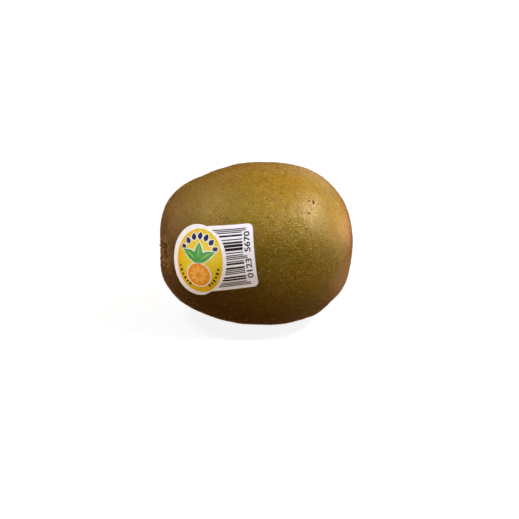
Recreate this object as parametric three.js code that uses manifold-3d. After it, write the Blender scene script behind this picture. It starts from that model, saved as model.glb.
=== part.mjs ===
// Golden kiwi fruit with a paper label, lying on its side.
//
// Millimetres, +Z up. The long axis runs along X: the blossom end is at -X and the stem end at +X. The label is
// on the -Y side. The origin is on the surface that the fruit rests on, under the middle of its bounding box.

import * as THREE from "three";
import { mergeVertices } from "three/addons/utils/BufferGeometryUtils.js";
import Module from "manifold-3d";

// --- Driving dimensions ---------------------------------------------------------------------------------------

// Body, measured from its widest section, where the two halves of the outline meet.
const BLOSSOM_LENGTH = 41.5;
const STEM_LENGTH = 26.3;
const HALF_HEIGHT = 29.2;
const HALF_WIDTH = 30.0;
// Exponents of the outline of each end: 2 is an ellipse, and a higher one is blunter.
const BLOSSOM_BLUNTNESS = 3.3;
const STEM_BLUNTNESS = 2.5;
// Low swellings that the fruit grew with: waves round the body that wind along it.
const SWELLINGS = [
  { height: 0.22, around: 2, winding: 2.16, phase: 1.1 },
  { height: 0.14, around: 5, winding: 1.93, phase: 2.38 },
];
// Shallow dents low on the shoulder of the stem end: place along the axis, and angle round it from +Y.
const DENTS = [
  { axial: 18.5, angle: -2.2, depth: 0.6, radius: 3.4 },
  { axial: 9.1, angle: -2.04, depth: 0.35, radius: 3.2 },
];
// How much of the underside is pressed flat, where the fruit rests.
const FOOT_DEPTH = 0.4;

// Mesh of the body: rings along the axis, crowded towards the ends, and segments round it.
const BODY_RINGS = 60;
const BODY_SEGMENTS = 64;
const RING_CROWDING = 0.8;
const OUTLINE_DIVISIONS = 2000;

// Stem end: a shallow dimple with the round corky scar of the stalk standing in it.
const DIMPLE = { radius: 6.0, depth: 1.5 };
const SCAR = { radius: 2.3, edge: 0.6, height: 0.8, pitRadius: 1.1, pitDepth: 0.5 };

// Dried sepals, pressed outwards round the scar: short flaps whose roots are sunk in the skin.
const SEPALS = { count: 5, rootRadius: 1.9, length: 3.6, width: 3.5, taper: 0.5, thickness: 1.0, lift: 0.1 };

// Blossom end: a low round crown with a sunken middle, a little off the axis.
const CROWN = { y: -6.0, z: -1.5, radius: 4.4, width: 1.5, height: 0.45, sink: 0.5, sinkRadius: 2.6 };

// Stubs of the dried styles, in rings on the crown, leaning outwards and mostly pressed flat.
const STUB_RINGS = [
  { count: 6, radius: 1.4, lean: 0.8 },
  { count: 10, radius: 2.9, lean: 1.15 },
  { count: 14, radius: 4.3, lean: 1.3 },
];
const STUB = { length: 1.5, root: 0.8, radius: 0.42, tipRadius: 0.24, sides: 5 };

// Label: an upright ellipse joined to a tab with rounded corners. In its own frame u runs to the right, v runs
// up, and the middle of the ellipse is at (0, 0).
const LABEL = {
  ellipseHalfWidth: 10.3,
  ellipseHalfHeight: 12.7,
  tabReach: 20.4,
  tabHalfHeight: 11.4,
  tabRise: 0.4,
  cornerRadius: 1.8,
  middle: 5.0,
  thickness: 0.6,
  clearance: 0.3,
  rings: 6,
  segments: 72,
};
// Where the label's (0, 0) sits on the body: its place along the axis, its angle above the middle of the front,
// and how far it is turned in its own plane.
const LABEL_PLACE = { axial: -32.9, rise: 0.073, turn: 0.127 };

// Seed of every random draw.
const SEED = 7;

// --- Small helpers --------------------------------------------------------------------------------------------

const TURN = 2 * Math.PI;

/** Returns a generator of numbers from 0 to 1 that runs the same way for the same seed. */
function seededRandom(seed) {
  let state = seed;
  return () => {
    state = (state * 16807) % 2147483647;
    return state / 2147483647;
  };
}

/** Bell curve: 1 at 0, and falling off over a width. */
function bell(distance, width) {
  return Math.exp(-((distance / width) ** 2));
}

/** Moves every vertex of a geometry to where `place(point)` says, and joins the vertices that meet. */
function mapVertices(geometry, place) {
  const mapped = geometry.clone();
  mapped.deleteAttribute("normal");
  mapped.deleteAttribute("uv");
  const position = mapped.getAttribute("position");
  const point = new THREE.Vector3();
  for (let i = 0; i < position.count; i += 1) {
    point.fromBufferAttribute(position, i);
    position.setXYZ(i, ...place(point).toArray());
  }
  return mergeVertices(mapped, 1e-4);
}

// --- Shape of the body ----------------------------------------------------------------------------------------

/** Length and bluntness of the half of the body that a place along the axis is on. */
function halfAt(x) {
  if (x < 0) return { length: BLOSSOM_LENGTH, bluntness: BLOSSOM_BLUNTNESS };
  return { length: STEM_LENGTH, bluntness: STEM_BLUNTNESS };
}

/** Outline of the plain body: its radius and its place along the axis, from the blossom end to the stem end. */
class BodyOutline extends THREE.Curve {
  constructor() {
    super();
    this.arcLengthDivisions = OUTLINE_DIVISIONS;
  }

  getPoint(t, target = new THREE.Vector2()) {
    const share = -Math.cos(Math.PI * t);
    const { length, bluntness } = halfAt(share);
    const radius = HALF_HEIGHT * (1 - share * share) ** (1 / bluntness);
    return target.set(radius, length * share);
  }
}

/** Distance from the axis as a share of the widest section. */
function relativeRadius(y, z) {
  return Math.hypot(y / HALF_WIDTH, z / HALF_HEIGHT);
}

/** Level of a point against the plain body: below 0 inside, 0 on the surface, above 0 outside. */
function bodyLevel(point) {
  const { length, bluntness } = halfAt(point.x);
  return (point.x / length) ** 2 + relativeRadius(point.y, point.z) ** bluntness - 1;
}

/** Where the ray from the middle of the widest section through a point meets the plain body. */
function onBody(point) {
  let inside = 0;
  let outside = 4;
  const tried = new THREE.Vector3();
  for (let step = 0; step < 40; step += 1) {
    const middle = (inside + outside) / 2;
    const level = bodyLevel(tried.copy(point).multiplyScalar(middle));
    if (level < 0) inside = middle;
    else outside = middle;
  }
  return point.clone().multiplyScalar(inside);
}

/** Outward direction of the plain body at a point of its surface. */
function bodyNormal(point) {
  const nudge = 1e-3;
  const slope = (axis) => {
    const ahead = point.clone();
    const behind = point.clone();
    ahead[axis] += nudge;
    behind[axis] -= nudge;
    return bodyLevel(ahead) - bodyLevel(behind);
  };
  return new THREE.Vector3(slope("x"), slope("y"), slope("z")).normalize();
}

/** Point of the plain body at a place along the axis and an angle round it from +Y. */
function bodyPoint(axial, angle) {
  const { length, bluntness } = halfAt(axial);
  const relative = (1 - (axial / length) ** 2) ** (1 / bluntness);
  const reach = relative / relativeRadius(Math.cos(angle), Math.sin(angle));
  return new THREE.Vector3(axial, reach * Math.cos(angle), reach * Math.sin(angle));
}

const DENT_MIDDLES = DENTS.map((dent) => bodyPoint(dent.axial, dent.angle));

/** Moves a point of the plain body away from the axis by the swellings, and towards it by the dents. */
function swell(point) {
  const angle = Math.atan2(point.z, point.y);
  const along = (Math.PI * point.x) / BLOSSOM_LENGTH;
  let height = 0;
  for (const wave of SWELLINGS) {
    height += wave.height * Math.sin(wave.around * angle + wave.winding * along + wave.phase);
  }
  height *= relativeRadius(point.y, point.z) ** 2;
  DENTS.forEach((dent, i) => {
    height -= dent.depth * bell(point.distanceTo(DENT_MIDDLES[i]), dent.radius);
  });
  return point.add(new THREE.Vector3(0, height * Math.cos(angle), height * Math.sin(angle)));
}

// --- Relief of the two ends -----------------------------------------------------------------------------------

/** How far the stem end stands out from the plain body, along +X. */
function stemRelief(y, z) {
  const radius = Math.hypot(y, z);
  const button = SCAR.height * (1 - THREE.MathUtils.smoothstep(radius, SCAR.radius - SCAR.edge, SCAR.radius));
  const pit = SCAR.pitDepth * (1 - THREE.MathUtils.smoothstep(radius, 0, SCAR.pitRadius));
  return button - pit - DIMPLE.depth * bell(radius, DIMPLE.radius);
}

/** How far the blossom end stands out from the plain body, along -X. */
function blossomRelief(y, z) {
  const radius = Math.hypot(y - CROWN.y, z - CROWN.z);
  return CROWN.height * bell(radius - CROWN.radius, CROWN.width) - CROWN.sink * bell(radius, CROWN.sinkRadius);
}

/** X of the stem end's surface, with its relief. */
function stemSurface(y, z) {
  const share = Math.sqrt(1 - relativeRadius(y, z) ** STEM_BLUNTNESS);
  return STEM_LENGTH * share + stemRelief(y, z);
}

/** X of the blossom end's surface, with its relief. */
function blossomSurface(y, z) {
  const share = Math.sqrt(1 - relativeRadius(y, z) ** BLOSSOM_BLUNTNESS);
  return -BLOSSOM_LENGTH * share - blossomRelief(y, z);
}

// --- Pieces of the fruit --------------------------------------------------------------------------------------

/** The body: its outline turned round the axis, made oval, swollen, and given the relief of both ends. */
function bodyGeometry() {
  const outline = new BodyOutline();
  const rings = [];
  for (let i = 0; i <= BODY_RINGS; i += 1) {
    const even = i / BODY_RINGS;
    const crowded = even - (RING_CROWDING * Math.sin(TURN * even)) / TURN;
    rings.push(outline.getPointAt(crowded));
  }
  return mapVertices(new THREE.LatheGeometry(rings, BODY_SEGMENTS), (turned) => {
    const point = swell(new THREE.Vector3(turned.y, (turned.x * HALF_WIDTH) / HALF_HEIGHT, -turned.z));
    const relief = point.x < 0 ? -blossomRelief(point.y, point.z) : stemRelief(point.y, point.z);
    return point.setX(point.x + relief);
  });
}

/** One dried sepal at an angle round the stem end: a ball drawn out into a flap that lies along the skin. */
function sepalGeometry(angle, size) {
  return mapVertices(new THREE.SphereGeometry(1, 8, 6), (ball) => {
    const along = (ball.z + 1) / 2;
    const radius = SEPALS.rootRadius + SEPALS.length * size * along;
    const across = (ball.x * SEPALS.width * size * (1 - SEPALS.taper * along)) / 2;
    const height = (ball.y * SEPALS.thickness) / 2 + SEPALS.lift * SEPALS.length * along;
    const flap = new THREE.Vector3(0, radius, across).applyAxisAngle(new THREE.Vector3(1, 0, 0), angle);
    return flap.setX(stemSurface(flap.y, flap.z) + height);
  });
}

/** One dried style: a short tapered stub that leans away from the crown's middle, with its root in the skin. */
function stubGeometry(radius, angle, lean, length) {
  const y = CROWN.y + radius * Math.cos(angle);
  const z = CROWN.z + radius * Math.sin(angle);
  const stub = new THREE.CylinderGeometry(STUB.tipRadius, STUB.radius, length + STUB.root, STUB.sides);
  stub.translate(0, (length + STUB.root) / 2 - STUB.root, 0);
  stub.rotateZ(TURN / 4 - lean);
  stub.rotateX(angle);
  return stub.translate(blossomSurface(y, z), y, z);
}

/** The sepals and the stubs, each a closed geometry. */
function driedPieces() {
  const random = seededRandom(SEED);
  const about = (middle, spread) => middle + spread * (random() - 0.5);
  const pieces = [];
  for (let i = 0; i < SEPALS.count; i += 1) {
    pieces.push(sepalGeometry((about(i, 0.3) * TURN) / SEPALS.count, about(1, 0.4)));
  }
  for (const ring of STUB_RINGS) {
    for (let i = 0; i < ring.count; i += 1) {
      const angle = (about(i, 0.6) * TURN) / ring.count;
      pieces.push(stubGeometry(about(ring.radius, 0.8), angle, about(ring.lean, 0.4), about(STUB.length, 0.9)));
    }
  }
  return pieces;
}

/** Turns a closed geometry into a solid that can be joined and cut. */
function toSolid(geometry) {
  const merged = mapVertices(geometry, (point) => point);
  const mesh = new wasm.Mesh({
    numProp: 3,
    vertProperties: merged.getAttribute("position").array,
    triVerts: new Uint32Array(merged.getIndex().array),
  });
  return new wasm.Manifold(mesh);
}

/** Turns a solid back into a geometry. */
function toGeometry(solid) {
  const mesh = solid.getMesh();
  const geometry = new THREE.BufferGeometry();
  geometry.setAttribute("position", new THREE.BufferAttribute(mesh.vertProperties, mesh.numProp));
  geometry.setIndex(new THREE.BufferAttribute(mesh.triVerts, 1));
  return geometry;
}

/** The whole fruit: body, sepals and stubs in one solid, with the flat foot cut off below. */
function fruitGeometry() {
  const body = bodyGeometry();
  body.computeBoundingBox();
  const below = new THREE.BoxGeometry(2 * BLOSSOM_LENGTH, 2 * HALF_WIDTH, HALF_HEIGHT);
  below.translate(0, 0, body.boundingBox.min.z + FOOT_DEPTH - HALF_HEIGHT / 2);
  let fruit = toSolid(body).subtract(toSolid(below));
  for (const piece of driedPieces()) {
    fruit = fruit.add(toSolid(piece));
  }
  return toGeometry(fruit);
}

// --- Label ----------------------------------------------------------------------------------------------------

/** Outline of the label in its own frame, counter-clockwise from where the tab's top edge leaves the ellipse. */
function labelOutline() {
  const top = LABEL.tabRise + LABEL.tabHalfHeight;
  const bottom = LABEL.tabRise - LABEL.tabHalfHeight;
  const start = Math.asin(top / LABEL.ellipseHalfHeight);
  const end = TURN + Math.asin(bottom / LABEL.ellipseHalfHeight);
  const corner = LABEL.cornerRadius;
  const right = LABEL.tabReach - corner;
  const outline = new THREE.Shape();
  outline.absellipse(0, 0, LABEL.ellipseHalfWidth, LABEL.ellipseHalfHeight, start, end, false);
  outline.absarc(right, bottom + corner, corner, -TURN / 4, 0, false);
  outline.absarc(right, top - corner, corner, 0, TURN / 4, false);
  outline.closePath();
  return outline.getSpacedPoints(LABEL.segments);
}

/** The label's own frame on the body: its origin, and its directions u, v and outwards. */
function labelFrame() {
  const origin = bodyPoint(LABEL_PLACE.axial, TURN / 2 - LABEL_PLACE.rise);
  const out = bodyNormal(origin);
  const u = new THREE.Vector3(1, 0, 0).projectOnPlane(out).normalize().applyAxisAngle(out, LABEL_PLACE.turn);
  const v = new THREE.Vector3().crossVectors(out, u);
  return { origin, u, v, out };
}

/** Lays a point of the label's frame on the skin, at a height over it. */
function onSkin(frame, u, v, height) {
  const reach = Math.hypot(u, v);
  const bend = reach / HALF_HEIGHT;
  const spread = reach > 0 ? Math.sin(bend) / bend : 1;
  const wrapped = frame.origin
    .clone()
    .addScaledVector(frame.u, u * spread)
    .addScaledVector(frame.v, v * spread)
    .addScaledVector(frame.out, -HALF_HEIGHT * (1 - Math.cos(bend)));
  const plain = onBody(wrapped);
  const out = bodyNormal(plain);
  return swell(plain).addScaledVector(out, height);
}

/** The label: a thin turned disc, stretched to the label's outline and laid on the skin. */
function labelGeometry() {
  const disc = [];
  for (let i = 0; i <= LABEL.rings; i += 1) {
    disc.push(new THREE.Vector2(i / LABEL.rings, LABEL.clearance));
  }
  for (let i = LABEL.rings; i >= 0; i -= 1) {
    disc.push(new THREE.Vector2(i / LABEL.rings, LABEL.clearance + LABEL.thickness));
  }
  const outline = labelOutline();
  const frame = labelFrame();
  const middle = new THREE.Vector2(LABEL.middle, 0);
  return mapVertices(new THREE.LatheGeometry(disc, LABEL.segments), (turned) => {
    const share = Math.hypot(turned.x, turned.z);
    const angle = (Math.atan2(turned.x, turned.z) + TURN) % TURN;
    const edge = outline[Math.round((angle / TURN) * LABEL.segments) % LABEL.segments];
    const place = middle.clone().lerp(edge, share);
    return onSkin(frame, place.x, place.y, turned.y);
  });
}

// --- Assembly -------------------------------------------------------------------------------------------------

/** A named mesh with its own material. */
function namedMesh(name, geometry, colour, roughness) {
  const material = new THREE.MeshStandardMaterial({ color: colour, roughness, metalness: 0 });
  const mesh = new THREE.Mesh(geometry, material);
  mesh.name = name;
  return mesh;
}

const wasm = await Module();
wasm.setup();

const kiwi = new THREE.Group();
kiwi.add(namedMesh("kiwi_fruit", fruitGeometry(), 0x86692c, 0.6));
kiwi.add(namedMesh("label", labelGeometry(), 0xe6e0e4, 0.5));

const bounds = new THREE.Box3().setFromObject(kiwi);
const centre = bounds.getCenter(new THREE.Vector3());
kiwi.position.set(-centre.x, -centre.y, -bounds.min.z);

export default kiwi;
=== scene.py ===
"""Looks of a golden kiwi fruit with a paper label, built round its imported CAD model.

Sizes are in millimetres, and become metres when a mesh is made. The axes are the CAD model's: +X runs
along the fruit to its stem end, the label is on the -Y side, and +Z is up from the surface that the fruit
rests on.
"""

import logging
import math
from collections.abc import Iterator
from dataclasses import dataclass, field, replace
from enum import Enum
from typing import Any

import bpy
import numpy as np
from mathutils import Matrix, Vector


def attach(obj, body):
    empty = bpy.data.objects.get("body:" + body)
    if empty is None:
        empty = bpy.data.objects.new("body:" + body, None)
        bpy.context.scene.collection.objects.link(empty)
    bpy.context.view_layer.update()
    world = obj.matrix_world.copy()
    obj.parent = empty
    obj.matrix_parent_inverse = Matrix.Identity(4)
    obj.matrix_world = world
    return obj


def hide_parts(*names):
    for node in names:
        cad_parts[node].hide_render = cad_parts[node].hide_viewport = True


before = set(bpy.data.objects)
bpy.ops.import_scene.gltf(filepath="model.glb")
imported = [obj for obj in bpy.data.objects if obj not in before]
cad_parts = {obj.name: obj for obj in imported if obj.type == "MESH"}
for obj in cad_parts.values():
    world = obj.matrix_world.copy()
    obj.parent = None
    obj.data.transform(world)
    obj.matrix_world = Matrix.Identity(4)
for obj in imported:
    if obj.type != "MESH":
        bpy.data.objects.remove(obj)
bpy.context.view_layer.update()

LOG = logging.getLogger("kiwi")
MM = 0.001
TURN = 2 * math.pi
BODY = "root"
SEED = 7
# Step and wrap of the seeded numbers, the same as the CAD model's.
STEP = 16807
WRAP = 2147483647
# Waves in a millimetre by which drawn-out patterns wander.
SWAY_SCALE = 0.45

# Points are rows of three numbers, a pair is a range or a place in a plane, and four numbers place and size a
# mark on the fruit.
Points = np.ndarray
Faces = list[tuple[int, ...]]
Solid = tuple[Points, Faces]
Pair = tuple[float, float]
Four = tuple[float, float, float, float]


# --- Small helpers --------------------------------------------------------------------------------


def linear(code: str) -> tuple[float, float, float, float]:
    """Turns an sRGB hex colour into linear red, green, blue and alpha.

    Args:
        code: Colour such as "#86692c".

    Returns:
        The linear colour, with alpha 1.
    """
    shares = [int(code[i : i + 2], 16) / 255 for i in (1, 3, 5)]
    bent = [s / 12.92 if s <= 0.04045 else ((s + 0.055) / 1.055) ** 2.4 for s in shares]
    return (*bent, 1.0)


def bell(distance: Points, width: float) -> Points:
    """Bell curve: 1 at distance 0, falling off over a width."""
    return np.exp(-((distance / width) ** 2))


def smoothstep(values: Points, low: float, high: float) -> Points:
    """Smooth rise from 0 at low to 1 at high."""
    share = np.clip((values - low) / (high - low), 0.0, 1.0)
    return share * share * (3 - 2 * share)


def seeded_numbers(seed: int) -> Iterator[float]:
    """Numbers from 0 to 1, in the order in which the CAD model draws them.

    Args:
        seed: Where the sequence starts.

    Yields:
        The next number.
    """
    state = seed
    while True:
        state = (state * STEP) % WRAP
        yield state / WRAP


def unit(vector: Points) -> Points:
    """The same direction with length 1."""
    return vector / np.linalg.norm(vector, axis=-1, keepdims=True)


def joined(solids: list[Solid]) -> Solid:
    """Puts several solids into one list of points and faces.

    Args:
        solids: Points and faces of each.

    Returns:
        All of their points, and their faces renumbered.
    """
    points, faces, start = [], [], 0
    for own_points, own_faces in solids:
        points.append(own_points)
        faces.extend(tuple(i + start for i in face) for face in own_faces)
        start += len(own_points)
    return np.concatenate(points), faces


def smooth(mesh: bpy.types.Mesh) -> None:
    """Shades every face of a mesh smooth."""
    mesh.polygons.foreach_set("use_smooth", [True] * len(mesh.polygons))


def make_piece(
    name: str, solid: Solid, material: bpy.types.Material, crease: float = 50.0
) -> bpy.types.Object:
    """Makes a mesh object at the origin from points in millimetres.

    Args:
        name: Name of the piece.
        solid: Points in the row frame, and faces with their outer side counter-clockwise.
        material: Its finish.
        crease: Angle in degrees past which an edge stays sharp.

    Returns:
        The new object.
    """
    points, faces = solid
    mesh = bpy.data.meshes.new(name)
    mesh.from_pydata((points * MM).tolist(), [], faces)
    mesh.validate()
    smooth(mesh)
    mesh.set_sharp_from_angle(angle=math.radians(crease))
    mesh.materials.append(material)
    piece = bpy.data.objects.new(name, mesh)
    bpy.context.scene.collection.objects.link(piece)
    return piece


def plain_piece(name: str, source: bpy.types.Object) -> bpy.types.Object:
    """Puts a plain mesh in the place of an object that has a modifier or text.

    Args:
        name: Name of the new piece.
        source: The object, which is removed.

    Returns:
        The new object, with no modifier.
    """
    bpy.context.scene.collection.objects.link(source)
    graph = bpy.context.evaluated_depsgraph_get()
    mesh = bpy.data.meshes.new_from_object(source.evaluated_get(graph), depsgraph=graph)
    mesh.name = name
    bpy.data.objects.remove(source)
    piece = bpy.data.objects.new(name, mesh)
    bpy.context.scene.collection.objects.link(piece)
    return piece


def store(mesh: bpy.types.Mesh, name: str, values: Points) -> None:
    """Stores a number or a direction for each vertex of a mesh.

    Args:
        mesh: The mesh.
        name: Name that materials and trees read it by.
        values: A number for each vertex, or three of them.
    """
    kind, key = ("FLOAT", "value") if values.ndim == 1 else ("FLOAT_VECTOR", "vector")
    attribute = mesh.attributes.new(name, kind, "POINT")
    attribute.data.foreach_set(key, values.astype(np.float32).ravel())


def loose_points(name: str, places: Points, **stored: Points) -> bpy.types.Mesh:
    """Makes the mesh of loose points that a geometry tree starts from.

    Args:
        name: Name of the mesh.
        places: The points, in the unit that the tree works in.
        stored: A number or a direction for each point, by the name that the tree reads it by.

    Returns:
        The mesh.
    """
    mesh = bpy.data.meshes.new(name)
    mesh.from_pydata(places.tolist(), [], [])
    for label, values in stored.items():
        store(mesh, label, values)
    return mesh


def settle(piece: bpy.types.Object, slot: str, *nodes: str) -> None:
    """Fixes a finished piece to the fruit's body and logs it.

    Args:
        piece: Finished mesh object.
        slot: Name of a material slot; it is not used.
        nodes: CAD nodes that it stands for.
    """
    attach(piece, BODY)
    if nodes:
        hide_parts(*nodes)
    LOG.info("%s: %d faces", piece.name, len(piece.data.polygons))


# --- Nodes ----------------------------------------------------------------------------------------


def add_node(
    tree: bpy.types.NodeTree, kind: str, links: dict[Any, Any] | None = None, **settings: Any
) -> Any:
    """Adds a node with its settings, values and links.

    Args:
        tree: Tree that gets the node.
        kind: Node type, such as "ShaderNodeTexNoise".
        links: For each input, by name or number: the output that feeds it, or its value.
        settings: Properties of the node.

    Returns:
        The new node.
    """
    node = tree.nodes.new(kind)
    for name, value in settings.items():
        setattr(node, name, value)
    for key, value in (links or {}).items():
        if isinstance(value, bpy.types.NodeSocket):
            tree.links.new(value, node.inputs[key])
        else:
            node.inputs[key].default_value = value
    return node


@dataclass(frozen=True)
class Blotches:
    """A pattern of soft blotches about `width` millimetres wide.

    Detail and rough are the number and the strength of its finer octaves. Squeezed is the share that is left
    of each axis, so that the blotches are drawn out by its inverse, and sway is how far, in millimetres,
    they wander out of line.
    """

    width: float
    detail: float = 2.0
    rough: float = 0.5
    squeezed: tuple[float, float, float] | None = None
    sway: float = 0.0


@dataclass
class FinishTree:
    """A material's node tree while it is being drawn, with its pattern space in millimetres."""

    name: str
    material: bpy.types.Material = field(init=False)
    tree: bpy.types.NodeTree = field(init=False)
    shader: Any = field(init=False)
    space: Any = field(init=False)

    def __post_init__(self) -> None:
        """Starts the material with its shader and its millimetre space."""
        self.material = bpy.data.materials.new(self.name)
        self.material.use_nodes = True
        self.tree = self.material.node_tree
        self.shader = self.tree.nodes["Principled BSDF"]
        links = {0: add_node(self.tree, "ShaderNodeTexCoord").outputs["Object"], 1: (1 / MM,) * 3}
        self.space = add_node(self.tree, "ShaderNodeVectorMath", links, operation="MULTIPLY").outputs[0]

    def stretched(self, squeezed: tuple[float, float, float] | None, sway: float) -> Any:
        """The millimetre space squeezed along each axis, so that a pattern is drawn out by the inverse.

        Args:
            squeezed: Share that is left of each axis, if it is squeezed at all.
            sway: How far, in millimetres, the pattern wanders out of line.

        Returns:
            The coordinates.
        """
        space = self.space
        if sway:
            drift = {"Vector": space, "Scale": SWAY_SCALE, "Detail": 1.0}
            drift = add_node(self.tree, "ShaderNodeTexNoise", drift).outputs["Color"]
            links = {0: drift, 1: (sway,) * 3, 2: space}
            space = add_node(self.tree, "ShaderNodeVectorMath", links, operation="MULTIPLY_ADD").outputs[0]
        if squeezed:
            links = {0: space, 1: squeezed}
            space = add_node(self.tree, "ShaderNodeVectorMath", links, operation="MULTIPLY").outputs[0]
        return space

    def draw(self, blotches: Blotches) -> Any:
        """Draws blotches.

        Args:
            blotches: Their sizes.

        Returns:
            The factor output, which stays between about 0.3 and 0.7.
        """
        links = {
            "Vector": self.stretched(blotches.squeezed, blotches.sway),
            "Scale": 1 / blotches.width,
            "Detail": blotches.detail,
            "Roughness": blotches.rough,
        }
        return add_node(self.tree, "ShaderNodeTexNoise", links).outputs["Fac"]

    def share(self, reading: Any, low: float, high: float, bottom: float = 0.0, top: float = 1.0) -> Any:
        """Turns blotches or a reading into a share that goes from bottom to top as it rises.

        Args:
            reading: Blotches to draw, or an output.
            low: Reading up to which the share is at its bottom.
            high: Reading from which on it is at its top.
            bottom: First share.
            top: Last share.

        Returns:
            The share's output.
        """
        value = self.draw(reading) if isinstance(reading, Blotches) else reading
        links = {"Value": value, "From Min": low, "From Max": high, "To Min": bottom, "To Max": top}
        return add_node(self.tree, "ShaderNodeMapRange", links, interpolation_type="SMOOTHSTEP").outputs[0]

    def stored(self, *names: str) -> list[Any]:
        """Outputs of numbers that the piece stores for each vertex, by their names."""
        kind = "ShaderNodeAttribute"
        return [add_node(self.tree, kind, attribute_name=name).outputs["Fac"] for name in names]

    def coats(self, colour: Any, *layers: tuple[Any, str]) -> Any:
        """Lays colours over one another.

        Args:
            colour: The lowest one: an output, or a hex value.
            layers: Share and hex value of each further one, from the lowest up.

        Returns:
            The resulting colour's output.
        """
        under = linear(colour) if isinstance(colour, str) else colour
        for share, code in layers:
            links = {0: share, 6: under, 7: linear(code)}
            under = add_node(self.tree, "ShaderNodeMix", links, data_type="RGBA").outputs[2]
        return under

    def dress(self, **values: Any) -> None:
        """Sets the shader's inputs, whose names have underscores for spaces.

        Args:
            values: An output to link, or a value.
        """
        for name, value in values.items():
            socket = self.shader.inputs[name.replace("_", " ")]
            if isinstance(value, bpy.types.NodeSocket):
                self.tree.links.new(value, socket)
            else:
                socket.default_value = value

    def relief(self, *heights: tuple[Any, float], depth: float, strength: float) -> None:
        """Raises the surface by the sum of some outputs.

        Args:
            heights: Each output and its share.
            depth: Height in millimetres at a sum of 1.
            strength: Share of it that shows.
        """
        total: Any = None
        for height, share in heights:
            if share != 1:
                links = {0: height, 1: share}
                height = add_node(self.tree, "ShaderNodeMath", links, operation="MULTIPLY").outputs[0]
            if total is not None:
                height = add_node(self.tree, "ShaderNodeMath", {0: total, 1: height}).outputs[0]
            total = height
        links = {"Height": total, "Distance": depth * MM, "Strength": strength}
        self.dress(Normal=add_node(self.tree, "ShaderNodeBump", links).outputs[0])


def start_tree(name: str, sizes: dict[str, str]) -> tuple[bpy.types.NodeTree, Any, Any]:
    """Starts a geometry tree with named inputs.

    Args:
        name: Name of the tree.
        sizes: Socket type of each input after the geometry, such as "NodeSocketFloat".

    Returns:
        The tree, its input node and its output node.
    """
    tree = bpy.data.node_groups.new(name, "GeometryNodeTree")
    tree.interface.new_socket(name="Geometry", in_out="INPUT", socket_type="NodeSocketGeometry")
    tree.interface.new_socket(name="Geometry", in_out="OUTPUT", socket_type="NodeSocketGeometry")
    for label, kind in sizes.items():
        tree.interface.new_socket(name=label, in_out="INPUT", socket_type=kind)
    return tree, add_node(tree, "NodeGroupInput"), add_node(tree, "NodeGroupOutput")


def end_tree(
    tree: bpy.types.NodeTree, scatter: dict[Any, Any], output: Any, material: bpy.types.Material
) -> None:
    """Scatters a shape over points, and ends a geometry tree in real faces with their material.

    Args:
        tree: The tree.
        scatter: Links that give the points, the instance and how each stands.
        output: The tree's output node.
        material: Finish of the faces.
    """
    instances = add_node(tree, "GeometryNodeInstanceOnPoints", scatter).outputs[0]
    real = add_node(tree, "GeometryNodeRealizeInstances", {0: instances}).outputs[0]
    dressed = add_node(tree, "GeometryNodeSetMaterial", {0: real, "Material": material}).outputs[0]
    tree.links.new(dressed, output.inputs[0])


def grow(
    name: str, mesh: bpy.types.Mesh, tree: bpy.types.NodeTree, sizes: dict[str, Any]
) -> bpy.types.Object:
    """Runs a geometry tree on a mesh and keeps the result as a plain mesh object.

    Args:
        name: Name of the new piece.
        mesh: Mesh that the tree starts from.
        tree: Geometry tree.
        sizes: Value of each named input.

    Returns:
        The new object, with no modifier.
    """
    seedbed = bpy.data.objects.new(name + "_seedbed", mesh)
    modifier = seedbed.modifiers.new(name, "NODES")
    modifier.node_group = tree
    sockets = {s.name: s.identifier for s in tree.interface.items_tree if s.in_out == "INPUT"}
    for label, value in sizes.items():
        modifier[sockets[label]] = value
    return plain_piece(name, seedbed)


# --- Shape of the fruit ---------------------------------------------------------------------------


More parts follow.
